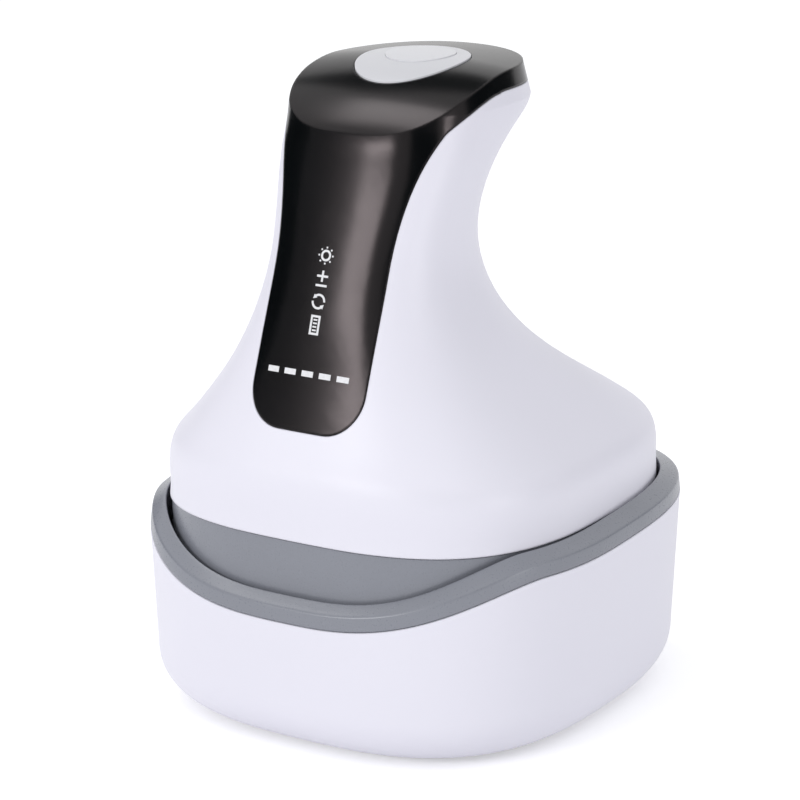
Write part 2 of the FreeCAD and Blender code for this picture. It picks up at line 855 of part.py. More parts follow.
def on_board(shape):
    """Moves a shape drawn on the board's own axes to its place behind the panel."""
    shape.Placement = board_place.multiply(shape.Placement)
    return shape


post_length = 2 * size("board_depth")
for sign in (-1, 1):
    at = VECTOR(0, -post_length, sign * size("board_post_reach"))
    post = Part.makeCylinder(size("board_post_radius"), post_length, at, VECTOR(0, 1, 0))
    bore_at = VECTOR(0, -size("board_screw_grip"), sign * size("board_post_reach"))
    bore_radius = size("board_screw_radius") + size("screw_play")
    bore = Part.makeCylinder(bore_radius, post_length, bore_at, VECTOR(0, 1, 0))
    panel = panel.fuse(on_board(post).common(half_wall_form)).cut(on_board(bore))
node(formed("FrontPanel", panel), "front_panel")

plate = plate_column.cut(crown_tool(-size("plate_rise")))
plate = plate.common(crown_tool(size("plate_sink") - size("plate_seat_gap"))).cut(button_hole)
node(formed("ButtonPlate", plate), "button_plate")

button_low = VECTOR(0, button_y, size("flange_low"))
button_cap = Part.makeCylinder(size("button_radius"), 2 * size("button_flange_drop"), button_low)
button_cap = button_cap.cut(crown_tool(-size("button_rise")))
cap = formed("ButtonCap", button_cap)
flange = cylinder("ButtonFlange", "button_radius + button_flange", "button_flange_height",
                  "0", "button_y", "flange_low")
stem = cylinder("ButtonStem", "button_stem_radius", "button_stem_drop", "0", "button_y", "stem_low")
node(fuse("PowerButton", [cap, flange, stem]), "power_button")
plunger = cylinder("Plunger", "plunger_radius", "plunger_length", "0", "button_y", "plunger_low")
node(plunger, "switch_plunger")
switch_case = block("SwitchCase", "switch_side", "switch_side", "switch_height",
                    "-switch_side / 2", "button_y - switch_side / 2", "switch_low")
switch_well = cylinder("SwitchWell", "plunger_radius + plunger_play", "switch_well + button_travel",
                       "0", "button_y", "switch_top - switch_well")
node(cut("SwitchBody", switch_case, [switch_well]), "switch_body")
switch_board = cylinder("SwitchBoard", "switch_board_radius", "switch_board_thick",
                        "0", "button_y", "switch_board_low")
node(switch_board, "switch_board")

# Port cover, charging board and socket

cover_flap = block("CoverFlap", "2 * cover_half_width", "cover_thick",
                   "2 * cover_half_height - cover_round",
                   "-cover_half_width", "cover_face - cover_thick", "hinge_z")
cover_edge = lying("CoverEdge", "cover_round", "cover_half_width", "hinge_y", "hinge_z")
cover_pins = lying("CoverPins", "cover_pin_radius", "cover_half_width + cover_pin_reach",
                   "hinge_y", "hinge_z")
node(fuse("PortCover", [cover_flap, cover_edge, cover_pins]), "port_cover")
charge_board = block("ChargeBoard", "2 * charge_board_half", "charge_board_length", "charge_board_thick",
                     "-charge_board_half", "charge_board_end - charge_board_length", "charge_board_low")
node(charge_board, "charge_board")
socket_case = block("SocketCase", "2 * socket_half_width", "socket_length", "socket_height",
                    "-socket_half_width", "charge_board_end - socket_length", "charge_board_top")
socket_mouth = block("SocketMouth", "2 * (socket_half_width - socket_wall)", "socket_length",
                     "socket_height - 2 * socket_wall", "socket_wall - socket_half_width",
                     "charge_board_end - socket_length + socket_wall", "charge_board_top + socket_wall")
node(cut("ChargeSocket", socket_case, [socket_mouth]), "charge_socket")

# Lower housing and deck

hem_square = size("shell_square")


def hem_ring(inset, z):
    """The hem's outline drawn in by inset."""
    return level_ring(size("hem_half") - inset, size("hem_front") + inset, size("hem_back") - inset,
                      hem_square, hem_square, z)


def housing_form(inset, low, round_radius, high):
    """The tray's body, drawn in by inset."""
    return rounded_form(lambda edge, z: hem_ring(inset + edge, z), low, round_radius, high)


tray = housing_form(size("housing_inset"), size("housing_bottom"), size("housing_round"), size("housing_top"))
tray_inside = housing_form(
    size("housing_inset") + size("housing_wall"), size("floor_top"),
    size("housing_round") - size("housing_wall"), size("housing_top") + size("tool_pass"),
)
tray_body = formed("Tray", tray.cut(tray_inside))
tray_adds = []
tray_cuts = []
bushes = []
seals = []
deck_cuts = []
for signs in spindle_signs():
    x, y = spindle_place(signs)
    tray_adds.append(cylinder("Boss", "boss_radius", "bush_top - boss_low", x, y, "boss_low"))
    tray_cuts.append(cylinder("BushBore", "bush_radius", "bush_top - seal_top", x, y, "seal_top"))
    tray_cuts.append(cylinder("SealBore", "seal_radius", "seal_height", x, y, "boss_low"))
    bush = cylinder("BushBlank", "bush_radius", "bush_top - seal_top", x, y, "seal_top")
    bore = cylinder("BushHole", "spindle_radius + running_fit", "bush_top - seal_top", x, y, "seal_top")
    bushes.append(cut("Bush", bush, [bore]))
    seal = cylinder("SealBlank", "seal_radius", "seal_height", x, y, "boss_low")
    lip = cylinder("SealHole", "spindle_radius + running_fit", "seal_height", x, y, "boss_low")
    seals.append(cut("Seal", seal, [lip]))
    deck_cuts.append(cylinder("Journal", "journal_radius + running_fit", "deck_thick", x, y, "deck_low"))
for x, y in pillar_places():
    tray_adds.append(cylinder("Pillar", "pillar_radius", "deck_low - floor_top", x, y, "floor_top"))
    tray_cuts.append(cylinder("PillarBore", "screw_radius + screw_play", "deck_low - housing_bottom",
                              x, y, "housing_bottom"))
    tray_cuts.append(cylinder("HeadBore", "screw_head_radius + screw_play", "screw_sink + screw_head_height",
                              x, y, "housing_bottom"))
    deck_cuts.append(cylinder("DeckBore", "screw_radius + screw_play", "deck_thick", x, y, "deck_low"))
pin_seat = cylinder("PinSeat", "first_neck_radius", "gear_float / 2", "first_x", "first_y", "floor_top")
tray_whole = fuse("TrayWhole", [tray_body, pin_seat] + tray_adds)
node(cut("LowerHousing", tray_whole, tray_cuts), "lower_housing")
node(group("Bushes", bushes), "spindle_bushes")
node(group("Seals", seals), "spindle_seals")

deck_inset = size("shell_wall") + size("deck_margin")
deck_rings = [hem_ring(deck_inset, size(level)) for level in ("deck_low", "deck_top")]
deck_body = formed("Deck", loft(deck_rings))
deck_adds = []
for sign in (-1, 1):
    deck_adds.append(cylinder("BoardLift", "board_lift_radius", "charge_board_lift",
                              f"{sign} * (charge_board_half - 2 * board_lift_radius)",
                              "charge_board_end - charge_board_length / 2", "deck_top"))
deck_cuts.append(cylinder("MotorNoseHole", "motor_nose_radius + motor_nose_gap", "deck_thick",
                          "motor_x", "motor_y", "deck_low"))
for place in ("first", "second"):
    deck_cuts.append(cylinder("PinHole", "idler_pin_radius", "deck_thick",
                              place + "_x", place + "_y", "deck_low"))
motor_screws = []
motor_cuts = []
for sign in (-1, 1):
    x = f"motor_x + {sign} * motor_screw_reach"
    deck_cuts.append(cylinder("MotorScrewHole", "motor_screw_radius + screw_play", "deck_thick",
                              x, "motor_y", "deck_low"))
    deck_cuts.append(cylinder("MotorHeadHole", "motor_screw_head + screw_play", "motor_screw_head_height",
                              x, "motor_y", "deck_low"))
    head = cylinder("MotorScrewHead", "motor_screw_head", "motor_screw_head_height", x, "motor_y", "deck_low")
    shank = cylinder("MotorScrewShank", "motor_screw_radius", "deck_thick + motor_screw_grip",
                     x, "motor_y", "deck_low")
    motor_screws.append(fuse("MotorScrew", [head, shank]))
    motor_cuts.append(cylinder("MotorThread", "motor_screw_radius + screw_play",
                               "motor_screw_grip + screw_sink", x, "motor_y", "deck_top"))
deck_whole = fuse("DeckWhole", [deck_body] + deck_adds)
node(cut("GearPlate", deck_whole, deck_cuts), "gear_plate")
node(group("MotorScrews", motor_screws), "motor_screws")

case_screws = []
for x, y in pillar_places():
    head = cylinder("CaseHead", "screw_head_radius", "screw_head_height", x, y, "housing_bottom + screw_sink")
    shank = cylinder("CaseShank", "screw_radius", "deck_top + screw_grip - housing_bottom - screw_sink",
                     x, y, "housing_bottom + screw_sink")
    case_screws.append(fuse("CaseScrew", [head, shank]))
node(group("CaseScrews", case_screws), "case_screws")

# Gears


def gear_solid(teeth, module, width, turn, play):
    """A spur gear on the Z axis: involute flanks, drawn with short straight runs."""
    pressure = math.radians(size("pressure_angle"))
    pitch = teeth * module / 2
    base = pitch * math.cos(pressure)
    root = pitch - DEDENDUM * module
    tip = pitch + module
    half_tooth = math.pi / (2 * teeth) - play / (2 * pitch)

    def flank(radius):
        rolled = math.acos(min(base / radius, 1.0))
        return half_tooth + math.tan(pressure) - pressure - (math.tan(rolled) - rolled)

    first = max(base, root)
    climb = [root] + [first + (tip - first) * k / FLANK_STEPS for k in range(FLANK_STEPS + 1)]
    if first == root:
        climb = climb[1:]
    points = []
    for k in range(teeth):
        middle = math.radians(turn) + 2 * math.pi * k / teeth
        for radius in climb:
            angle = middle - flank(max(radius, first))
            points.append(VECTOR(radius * math.cos(angle), radius * math.sin(angle), 0))
        for radius in reversed(climb):
            angle = middle + flank(max(radius, first))
            points.append(VECTOR(radius * math.cos(angle), radius * math.sin(angle), 0))
    return Part.Face(Part.makePolygon(points + points[:1])).extrude(UP * width)


def meshed_turn(teeth, turn, next_teeth, direction):
    """The turn that puts a gap of the next gear at a tooth of this one, along a direction in degrees."""
    phase = (direction - turn) * teeth / 360
    return direction + 180 - (0.5 - phase) * 360 / next_teeth


def gear(name, teeth, module, width, turn, play, x, y, z):
    """A gear set at its place."""
    thing = formed(name, gear_solid(teeth, size(module), size(width), turn, size(play)))
    return move(thing, x, y, z)


for number, signs in enumerate(spindle_signs(), start=1):
    x, y = spindle_place(signs)
    half_tooth_turn = 180 / GEAR_TEETH if number % 2 == 0 else 0.0
    wheel = gear(f"Wheel_{number}", GEAR_TEETH, "gear_module", "gear_width", half_tooth_turn, "tooth_play",
                 x, y, "gear_low")
    shaft = cylinder(f"Spindle_{number}", "spindle_radius",
                     "deck_low - stage_gap / 2 - hub_top - hub_gap / 2",
                     x, y, "hub_top + hub_gap / 2")
    journal = cylinder(f"TopJournal_{number}", "journal_radius", "stage_gap / 2 + deck_thick",
                       x, y, "deck_low - stage_gap / 2")
    drive = hexagon(f"Drive_{number}", "drive_across", "hub_thick / 2 + hub_gap",
                    x, y, "hub_top - hub_thick / 2")
    node(fuse(f"DriveGear_{number}", [wheel, shaft, journal, drive]), f"drive_gear_{number}")

    disc = cylinder(f"HubDisc_{number}", "hub_radius", "hub_thick - hub_chamfer", x, y, "hub_low")
    cap_cone = doc.addObject("Part::Cone", f"HubCone_{number}")
    bind(cap_cone, Radius1="hub_radius", Radius2="hub_radius - hub_chamfer", Height="hub_chamfer")
    move(cap_cone, x, y, "hub_top - hub_chamfer")
    hub_blank = fuse(f"HubBlank_{number}", [disc, cap_cone])
    socket = hexagon(f"HubSocket_{number}", "drive_across + 2 * drive_play", "hub_thick", x, y,
                     "hub_top - hub_thick / 2")
    node(cut(f"HeadHub_{number}", hub_blank, [socket]), f"head_hub_{number}")

first_turn = meshed_turn(GEAR_TEETH, 0.0, PINION_TEETH, 225)
first_pinion = gear("FirstPinion", PINION_TEETH, "gear_module", "gear_width", first_turn, "tooth_play",
                    "first_x", "first_y", "gear_low")
first_neck = cylinder("FirstNeck", "first_neck_radius", "stage_gap", "first_x", "first_y", "gear_high")
first_wheel = gear("FirstWheel", IDLER_TEETH, "stage_module", "stage_width", 0.0, "fine_tooth_play",
                   "first_x", "first_y", "first_low")
first_hole = cylinder("FirstHole", "idler_pin_radius + running_fit", "first_high - gear_low",
                      "first_x", "first_y", "gear_low")
first_blank = fuse("FirstBlank", [first_pinion, first_neck, first_wheel])
node(cut("IdlerGear_1", first_blank, [first_hole]), "idler_gear_1")

second_turn = meshed_turn(IDLER_TEETH, 0.0, PINION_TEETH, 0)
second_pinion = gear("SecondPinion", PINION_TEETH, "stage_module", "stage_width", second_turn,
                     "fine_tooth_play", "second_x", "second_y", "first_low")
second_neck = cylinder("SecondNeck", "second_neck_radius", "stage_gap", "second_x", "second_y", "first_high")
second_wheel = gear("SecondWheel", IDLER_TEETH, "motor_module", "stage_width", 0.0, "fine_tooth_play",
                    "second_x", "second_y", "second_low")
second_hole = cylinder("SecondHole", "idler_pin_radius + running_fit", "second_high - first_low",
                       "second_x", "second_y", "first_low")
second_blank = fuse("SecondBlank", [second_pinion, second_neck, second_wheel])
node(cut("IdlerGear_2", second_blank, [second_hole]), "idler_gear_2")

first_pin = cylinder("FirstPin", "idler_pin_radius", "deck_top - floor_top - gear_float / 2",
                     "first_x", "first_y", "floor_top + gear_float / 2")
second_stem = cylinder("SecondStem", "idler_pin_radius", "deck_top - first_low + stage_gap / 4",
                       "second_x", "second_y", "first_low - stage_gap / 4")
second_head = cylinder("SecondHead", "idler_head_radius", "idler_pin_head",
                       "second_x", "second_y", "first_low - stage_gap / 4 - idler_pin_head")
node(group("IdlerPins", [first_pin, fuse("SecondPin", [second_stem, second_head])]), "idler_pins")

motor_turn = meshed_turn(IDLER_TEETH, 0.0, PINION_TEETH, size("motor_angle"))
pinion_blank = gear("PinionBlank", PINION_TEETH, "motor_module", "stage_width", motor_turn, "fine_tooth_play",
                    "motor_x", "motor_y", "second_low")
pinion_hole = cylinder("PinionHole", "motor_shaft_radius", "stage_width", "motor_x", "motor_y", "second_low")
node(cut("MotorPinion", pinion_blank, [pinion_hole]), "motor_pinion")
motor_shaft = cylinder("MotorShaft", "motor_shaft_radius", "deck_top + motor_shaft_inside - second_low",
                       "motor_x", "motor_y", "second_low")
node(motor_shaft, "motor_shaft")
can_body = cylinder("CanBody", "motor_radius", "motor_height", "motor_x", "motor_y", "deck_top")
can_nose = cylinder("CanNose", "motor_nose_radius", "deck_thick / 2",
                    "motor_x", "motor_y", "deck_low + deck_thick / 2")
motor_cuts.append(cylinder("ShaftBore", "motor_shaft_radius + running_fit",
                           "deck_thick / 2 + motor_shaft_inside + stage_gap",
                           "motor_x", "motor_y", "deck_low + deck_thick / 2"))
node(cut("MotorCan", fuse("CanBlank", [can_body, can_nose]), motor_cuts), "motor_can")
motor_cap = cylinder("MotorCap", "motor_cap_radius", "motor_cap_height", "motor_x", "motor_y",
                     "deck_top + motor_height")
node(motor_cap, "motor_cap")

# Finger pads


def finger_pad():
    """A soft disc with rounded fingers pointing down, on its own axis under the hub."""
    low = size("pad_low")
    disc = Part.makeCylinder(size("pad_radius"), size("pad_thick"), VECTOR(0, 0, low))
    root = size("finger_root")
    tip = size("finger_tip")
    places = [(0.0, 0.0)]
    for count, reach in ((OUTER_FINGERS, size("outer_ring")), (INNER_FINGERS, size("inner_ring"))):
        places += [(reach, 2 * math.pi * k / count) for k in range(count)]
    fingers = []
    for reach, turn in places:
        at = VECTOR(reach * math.cos(turn), reach * math.sin(turn), low + size("pad_thick") / 2)
        length = size("finger_length") + size("pad_thick") / 2 - tip
        fingers.append(Part.makeCone(root, tip, length, at, VECTOR(0, 0, -1)))
        fingers.append(Part.makeSphere(tip, VECTOR(at.x, at.y, at.z - length)))
    return disc.multiFuse(fingers)


soft_pad = finger_pad()
for number, signs in enumerate(spindle_signs(), start=1):
    x, y = spindle_place(signs)
    node(move(formed(f"FingerPad_{number}", soft_pad), x, y), f"finger_pad_{number}")

# Battery

node(lying("Cell", "cell_radius", "cell_length / 2", "cell_y", "cell_z"), "battery_cell")
holder_blank = block("HolderBlank", "cell_length + 2 * (holder_wall + cell_play)",
                     "2 * (cell_radius + cell_play + holder_wall)", "holder_height",
                     "-cell_length / 2 - holder_wall - cell_play",
                     "cell_y - cell_radius - cell_play - holder_wall", "deck_top")
trough = lying("Trough", "cell_radius + cell_play", "cell_length / 2 + cell_play", "cell_y", "cell_z")
mouth = block("HolderMouth", "cell_length + 2 * cell_play", "2 * (cell_radius + cell_play)", "holder_height",
              "-cell_length / 2 - cell_play", "cell_y - cell_radius - cell_play", "cell_z")
node(cut("BatteryHolder", holder_blank, [trough, mouth]), "battery_holder")

# Control board, its screws, lamps and light guide, drawn on the board's own axes

half_width = size("board_half_width")
half_length = size("board_half_length")
board = Part.makeBox(2 * half_width, size("board_thick"), 2 * half_length,
                     VECTOR(-half_width, 0, -half_length))
board_screws = []
into = VECTOR(0, 1, 0)
for sign in (-1, 1):
    reach = sign * size("board_post_reach")
    hole = Part.makeCylinder(size("board_screw_radius") + size("screw_play"), size("board_thick"),
                             VECTOR(0, 0, reach), into)
    board = board.cut(hole)
    head = Part.makeCylinder(size("board_screw_head"), size("board_screw_head_height"),
                             VECTOR(0, size("board_thick"), reach), into)
    grip = size("board_screw_grip")
    shank = Part.makeCylinder(size("board_screw_radius"), grip + size("board_thick"),
                              VECTOR(0, -grip, reach), into)
    board_screws.append(on_board(head.fuse(shank)))
node(formed("ControlBoard", on_board(board)), "control_board")
node(formed("BoardScrews", Part.makeCompound(board_screws)), "board_screws")

led = size("led_size")
icon_rows = [size("icon_centre") + (k - 1.5) * size("icon_pitch") for k in range(4)]
lamps = []
for row in icon_rows:
    corner = VECTOR(-led / 2, -size("led_height"), row - led / 2)
    lamps.append(on_board(Part.makeBox(led, size("led_height"), led, corner)))
node(formed("Lamps", Part.makeCompound(lamps)), "indicator_leds")

guide_near = size("led_height") + size("guide_gap")
guide_low = icon_rows[0] - led / 2 - size("guide_margin")
guide_high = icon_rows[-1] + led / 2 + size("guide_margin")
guide_half = size("guide_half_width")
guide = Part.makeBox(2 * guide_half, size("guide_thick"), guide_high - guide_low,
                     VECTOR(-guide_half, -guide_near - size("guide_thick"), guide_low))
for foot in (guide_low, guide_high - size("guide_leg")):
    guide = guide.fuse(Part.makeBox(2 * guide_half, guide_near, size("guide_leg"),
                                    VECTOR(-guide_half, -guide_near, foot)))
node(formed("LightGuide", on_board(guide)), "light_guide")

# Checks, then one file for each sub-part

doc.recompute()
for thing in doc.Objects:
    if "Invalid" in thing.State or "Error" in thing.State:
        raise RuntimeError(f"{thing.Name} failed: {thing.State}")
for thing in NODES:
    if thing.Shape.isNull() or not thing.Shape.isValid():
        raise RuntimeError(f"{thing.Label} has no valid shape")
os.makedirs("parts", exist_ok=True)
for thing in NODES:
    thing.Shape.exportStep(f"parts/{thing.Label}.step")
    print(thing.Label, len(thing.Shape.Solids), "solids", round(thing.Shape.Volume, 1), "mm3")
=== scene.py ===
"""Looks of a cordless scalp massager that stands in its cup-shaped storage base."""

import logging
import math
from dataclasses import dataclass, field
from enum import Enum
from typing import Dict, List, Optional, Protocol, Sequence, Tuple

import bmesh
import bpy
from mathutils import Matrix, Vector
from mathutils.bvhtree import BVHTree


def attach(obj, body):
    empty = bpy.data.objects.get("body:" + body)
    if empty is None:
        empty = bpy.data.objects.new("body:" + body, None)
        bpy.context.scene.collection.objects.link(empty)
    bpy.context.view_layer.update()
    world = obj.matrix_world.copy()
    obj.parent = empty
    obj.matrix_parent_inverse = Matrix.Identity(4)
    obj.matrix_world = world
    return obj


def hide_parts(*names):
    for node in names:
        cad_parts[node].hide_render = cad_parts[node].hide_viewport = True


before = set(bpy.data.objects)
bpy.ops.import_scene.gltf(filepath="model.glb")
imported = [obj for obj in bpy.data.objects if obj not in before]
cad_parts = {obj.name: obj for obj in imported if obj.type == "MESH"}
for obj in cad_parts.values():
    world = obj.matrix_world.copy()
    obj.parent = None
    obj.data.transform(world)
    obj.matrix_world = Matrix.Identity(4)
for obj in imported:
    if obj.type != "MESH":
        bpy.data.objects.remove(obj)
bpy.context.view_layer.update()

LOG = logging.getLogger("massager")
MM = 0.001
Colour = Tuple[float, float, float]
Point = Tuple[float, float, float]
Size = Tuple[float, float]
MIDDLE: Point = (0.0, 0.0, 0.07)


class Slot(Enum):
    """The record's material slots."""

    WHITE = "white"
    GREY = "grey"
    BLACK = "black"
    LIGHT_GREY = "light_grey"
    BUTTON_GREY = "button_grey"
    FINGER_RUBBER = "finger_rubber"
    PAD_RUBBER = "pad_rubber"
    FOOT_RUBBER = "foot_rubber"
    COVER_RUBBER = "cover_rubber"
    STEEL = "steel"
    BRONZE = "bronze"
    INNER_PLASTIC = "inner_plastic"
    GEAR = "gear"
    CELL = "cell"
    BOARD = "board"
    LAMP = "lamp"
    GUIDE = "guide"
    SOCKET = "socket"


class NodeSheet:
    """A material's node tree, with short ways to add and link nodes."""

    def __init__(self, name: str) -> None:
        """Starts a material with one principled shader.

        Args:
            name: The material's name.
        """
        self.material = bpy.data.materials.new(name)
        self.material.use_nodes = True
        self.tree = self.material.node_tree
        self.shader = self.tree.nodes["Principled BSDF"]
        self.place = self.add("ShaderNodeTexCoord").outputs["Object"]

    def add(self, kind: str, **values: object) -> bpy.types.Node:
        """Adds a node.

        Args:
            kind: Blender's name of the node type.
            **values: Attributes to set on the node.

        Returns:
            The new node.
        """
        node = self.tree.nodes.new(kind)
        for key, value in values.items():
            setattr(node, key, value)
        return node

    def link(self, source: bpy.types.NodeSocket, target: bpy.types.NodeSocket) -> None:
        """Joins two sockets."""
        self.tree.links.new(source, target)

    def noise(self, scale: float, detail: float, stretch: Point = (1.0, 1.0, 1.0)) -> bpy.types.NodeSocket:
        """Adds a noise pattern on object coordinates.

        Args:
            scale: Pattern repeats per metre.
            detail: Octaves of finer noise.
            stretch: Scale along each axis before the pattern is read.

        Returns:
            The pattern's value socket.
        """
        mapping = self.add("ShaderNodeMapping")
        mapping.inputs["Scale"].default_value = stretch
        self.link(self.place, mapping.inputs["Vector"])
        node = self.add("ShaderNodeTexNoise")
        node.inputs["Scale"].default_value = scale
        node.inputs["Detail"].default_value = detail
        self.link(mapping.outputs["Vector"], node.inputs["Vector"])
        return node.outputs["Fac"]

    def spread(self, value: bpy.types.NodeSocket, low: float, high: float) -> bpy.types.NodeSocket:
        """Maps the middle half of a pattern to a range of numbers.

        Args:
            value: The pattern.
            low: Result at the pattern's low end.
            high: Result at the pattern's high end.

        Returns:
            The mapped value socket.
        """
        node = self.add("ShaderNodeMapRange")
        node.inputs["From Min"].default_value = 0.3
        node.inputs["From Max"].default_value = 0.7
        node.inputs["To Min"].default_value = low
        node.inputs["To Max"].default_value = high
        self.link(value, node.inputs["Value"])
        return node.outputs["Result"]

    def tint(self, value: bpy.types.NodeSocket, first: Colour, second: Colour) -> bpy.types.NodeSocket:
        """Blends two colours by a pattern.

        Args:
            value: The pattern.
            first: Colour at the low end.
            second: Colour at the high end.

        Returns:
            The colour socket.
        """
        node = self.add("ShaderNodeMix", data_type="RGBA")
        node.inputs[6].default_value = (*first, 1.0)
        node.inputs[7].default_value = (*second, 1.0)
        self.link(value, node.inputs["Factor"])
        return node.outputs[2]

    def rounded(self, radius: float) -> bpy.types.NodeSocket:
        """A normal that shades sharp edges as if they were rounded.

        Args:
            radius: The rounding's radius in metres.

        Returns:
            The normal socket.
        """
        node = self.add("ShaderNodeBevel", samples=6)
        node.inputs["Radius"].default_value = radius
        return node.outputs["Normal"]

    def raise_surface(self, value: bpy.types.NodeSocket, strength: float, height: float,
                      edge: float = 0.0) -> None:
        """Gives the shader a bump from a pattern.

        Args:
            value: The pattern.
            strength: How strongly it shows.
            height: Height of the pattern in metres.
            edge: Radius of the rounding that sharp edges are shaded with, in metres.
        """
        node = self.add("ShaderNodeBump")
        node.inputs["Strength"].default_value = strength
        node.inputs["Distance"].default_value = height
        self.link(value, node.inputs["Height"])
        if edge:
            self.link(self.rounded(edge), node.inputs["Normal"])
        self.link(node.outputs["Normal"], self.shader.inputs["Normal"])


class Finish(Protocol):
    """What every finish has: a name and a way to make its material."""

    name: str

    def material(self) -> bpy.types.Material:
        """Builds the material."""


def shaded(colour: Colour, factor: float) -> Colour:
    """A colour made lighter or darker by a factor."""
    return tuple(min(1.0, part * factor) for part in colour)


@dataclass(frozen=True)
class MouldedPlastic:
    """Satin or matte moulded plastic with a fine spark-eroded grain."""

    name: str
    colour: Colour
    roughness: float = 0.42
    grain: float = 2600.0
    grain_height: float = 0.00002
    cloud: float = 0.02
    specular: float = 0.45
    edge: float = 0.0
    cloud_scale: float = 28.0
    grain_strength: float = 0.25
    roughness_spread: float = 0.04

    def material(self) -> bpy.types.Material:
        """Builds the material.

        Returns:
            The finished material.
        """
        sheet = NodeSheet(self.name)
        clouds = sheet.spread(sheet.noise(self.cloud_scale, 3.0), 0.0, 1.0)
        colour = sheet.tint(clouds, shaded(self.colour, 1 - self.cloud), shaded(self.colour, 1 + self.cloud))
        sheet.link(colour, sheet.shader.inputs["Base Color"])
        grain = sheet.noise(self.grain, 2.0)
        smooth = self.roughness - self.roughness_spread
        coarse = self.roughness + self.roughness_spread
        sheet.link(sheet.spread(grain, smooth, coarse), sheet.shader.inputs["Roughness"])
        sheet.shader.inputs["Specular IOR Level"].default_value = self.specular
        sheet.raise_surface(grain, self.grain_strength, self.grain_height, self.edge)
        return sheet.material


@dataclass(frozen=True)
class SmokedGloss:
    """Polished smoky plastic, with faint polishing haze under a clear face."""

    name: str
    colour: Colour
    roughness: float = 0.20
    specular: float = 0.25
    tint: Colour = (1.0, 0.86, 0.88)
    edge: float = 0.0
    cloud_scale: float = 45.0
    haze_scale: float = 160.0

    def material(self) -> bpy.types.Material:
        """Builds the material.

        Returns:
            The finished material.
        """
        sheet = NodeSheet(self.name)
        clouds = sheet.spread(sheet.noise(self.cloud_scale, 4.0), 0.0, 1.0)
        colour = sheet.tint(clouds, shaded(self.colour, 0.85), shaded(self.colour, 1.15))
        sheet.link(colour, sheet.shader.inputs["Base Color"])
        haze = sheet.noise(self.haze_scale, 5.0)
        rough = sheet.spread(haze, self.roughness * 0.97, self.roughness * 1.03)
        sheet.link(rough, sheet.shader.inputs["Roughness"])
        sheet.shader.inputs["Specular IOR Level"].default_value = self.specular
        sheet.shader.inputs["Specular Tint"].default_value = (*self.tint, 1.0)
        if self.edge:
            sheet.link(sheet.rounded(self.edge), sheet.shader.inputs["Normal"])
        return sheet.material


@dataclass(frozen=True)
class SoftRubber:
    """Matte rubber or silicone with a powdery sheen."""

    name: str
    colour: Colour
    roughness: float = 0.62
    sheen: float = 0.2
    dust_scale: float = 140.0
    pore_scale: float = 1800.0
    pore_height: float = 0.00003

    def material(self) -> bpy.types.Material:
        """Builds the material.

        Returns:
            The finished material.
        """
        sheet = NodeSheet(self.name)
        dust = sheet.spread(sheet.noise(self.dust_scale, 5.0), 0.0, 1.0)
        colour = sheet.tint(dust, shaded(self.colour, 0.92), shaded(self.colour, 1.08))
        sheet.link(colour, sheet.shader.inputs["Base Color"])
        pores = sheet.noise(self.pore_scale, 3.0)
        rough = sheet.spread(pores, self.roughness - 0.08, self.roughness + 0.08)
        sheet.link(rough, sheet.shader.inputs["Roughness"])
        sheet.shader.inputs["Sheen Weight"].default_value = self.sheen
        sheet.shader.inputs["Specular IOR Level"].default_value = 0.35
        sheet.raise_surface(pores, 0.3, self.pore_height)
        return sheet.material


@dataclass(frozen=True)
class TurnedMetal:
    """Turned or drawn metal with fine tool marks."""

    name: str
    colour: Colour
    roughness: float = 0.28
    mark_scale: float = 900.0
    mark_stretch: Point = (0.15, 0.15, 4.0)
    mark_height: float = 0.00001

    def material(self) -> bpy.types.Material:
        """Builds the material.

        Returns:
            The finished material.
        """
        sheet = NodeSheet(self.name)
        marks = sheet.noise(self.mark_scale, 3.0, self.mark_stretch)
        cover = sheet.spread(marks, 0.0, 1.0)
        colour = sheet.tint(cover, shaded(self.colour, 0.9), shaded(self.colour, 1.06))
        sheet.link(colour, sheet.shader.inputs["Base Color"])
        rough = sheet.spread(marks, self.roughness - 0.07, self.roughness + 0.1)
        sheet.link(rough, sheet.shader.inputs["Roughness"])
        sheet.shader.inputs["Metallic"].default_value = 1.0
        sheet.raise_surface(marks, 0.2, self.mark_height)
        return sheet.material


@dataclass(frozen=True)
class SolderMask:
    """A green circuit board with a faint weave and copper runs under its lacquer."""

    name: str
    colour: Colour
    copper: Colour = (0.10, 0.36, 0.16)
    run_scale: float = 260.0
    run_width: float = 0.012
    run_height: float = 0.00003
    weave_scale: float = 700.0

    def material(self) -> bpy.types.Material:
        """Builds the material.

        Returns:
            The finished material.
        """
        sheet = NodeSheet(self.name)
        runs = sheet.add("ShaderNodeTexBrick")
        runs.inputs["Scale"].default_value = self.run_scale
        runs.inputs["Color1"].default_value = (*self.colour, 1.0)
        runs.inputs["Color2"].default_value = (*shaded(self.colour, 1.25), 1.0)
        runs.inputs["Mortar"].default_value = (*self.copper, 1.0)
        runs.inputs["Mortar Size"].default_value = self.run_width
        sheet.link(sheet.place, runs.inputs["Vector"])
        sheet.link(runs.outputs["Color"], sheet.shader.inputs["Base Color"])
        weave = sheet.noise(self.weave_scale, 2.0)
        sheet.link(sheet.spread(weave, 0.25, 0.4), sheet.shader.inputs["Roughness"])
        sheet.raise_surface(runs.outputs["Fac"], 0.15, self.run_height)
        return sheet.material


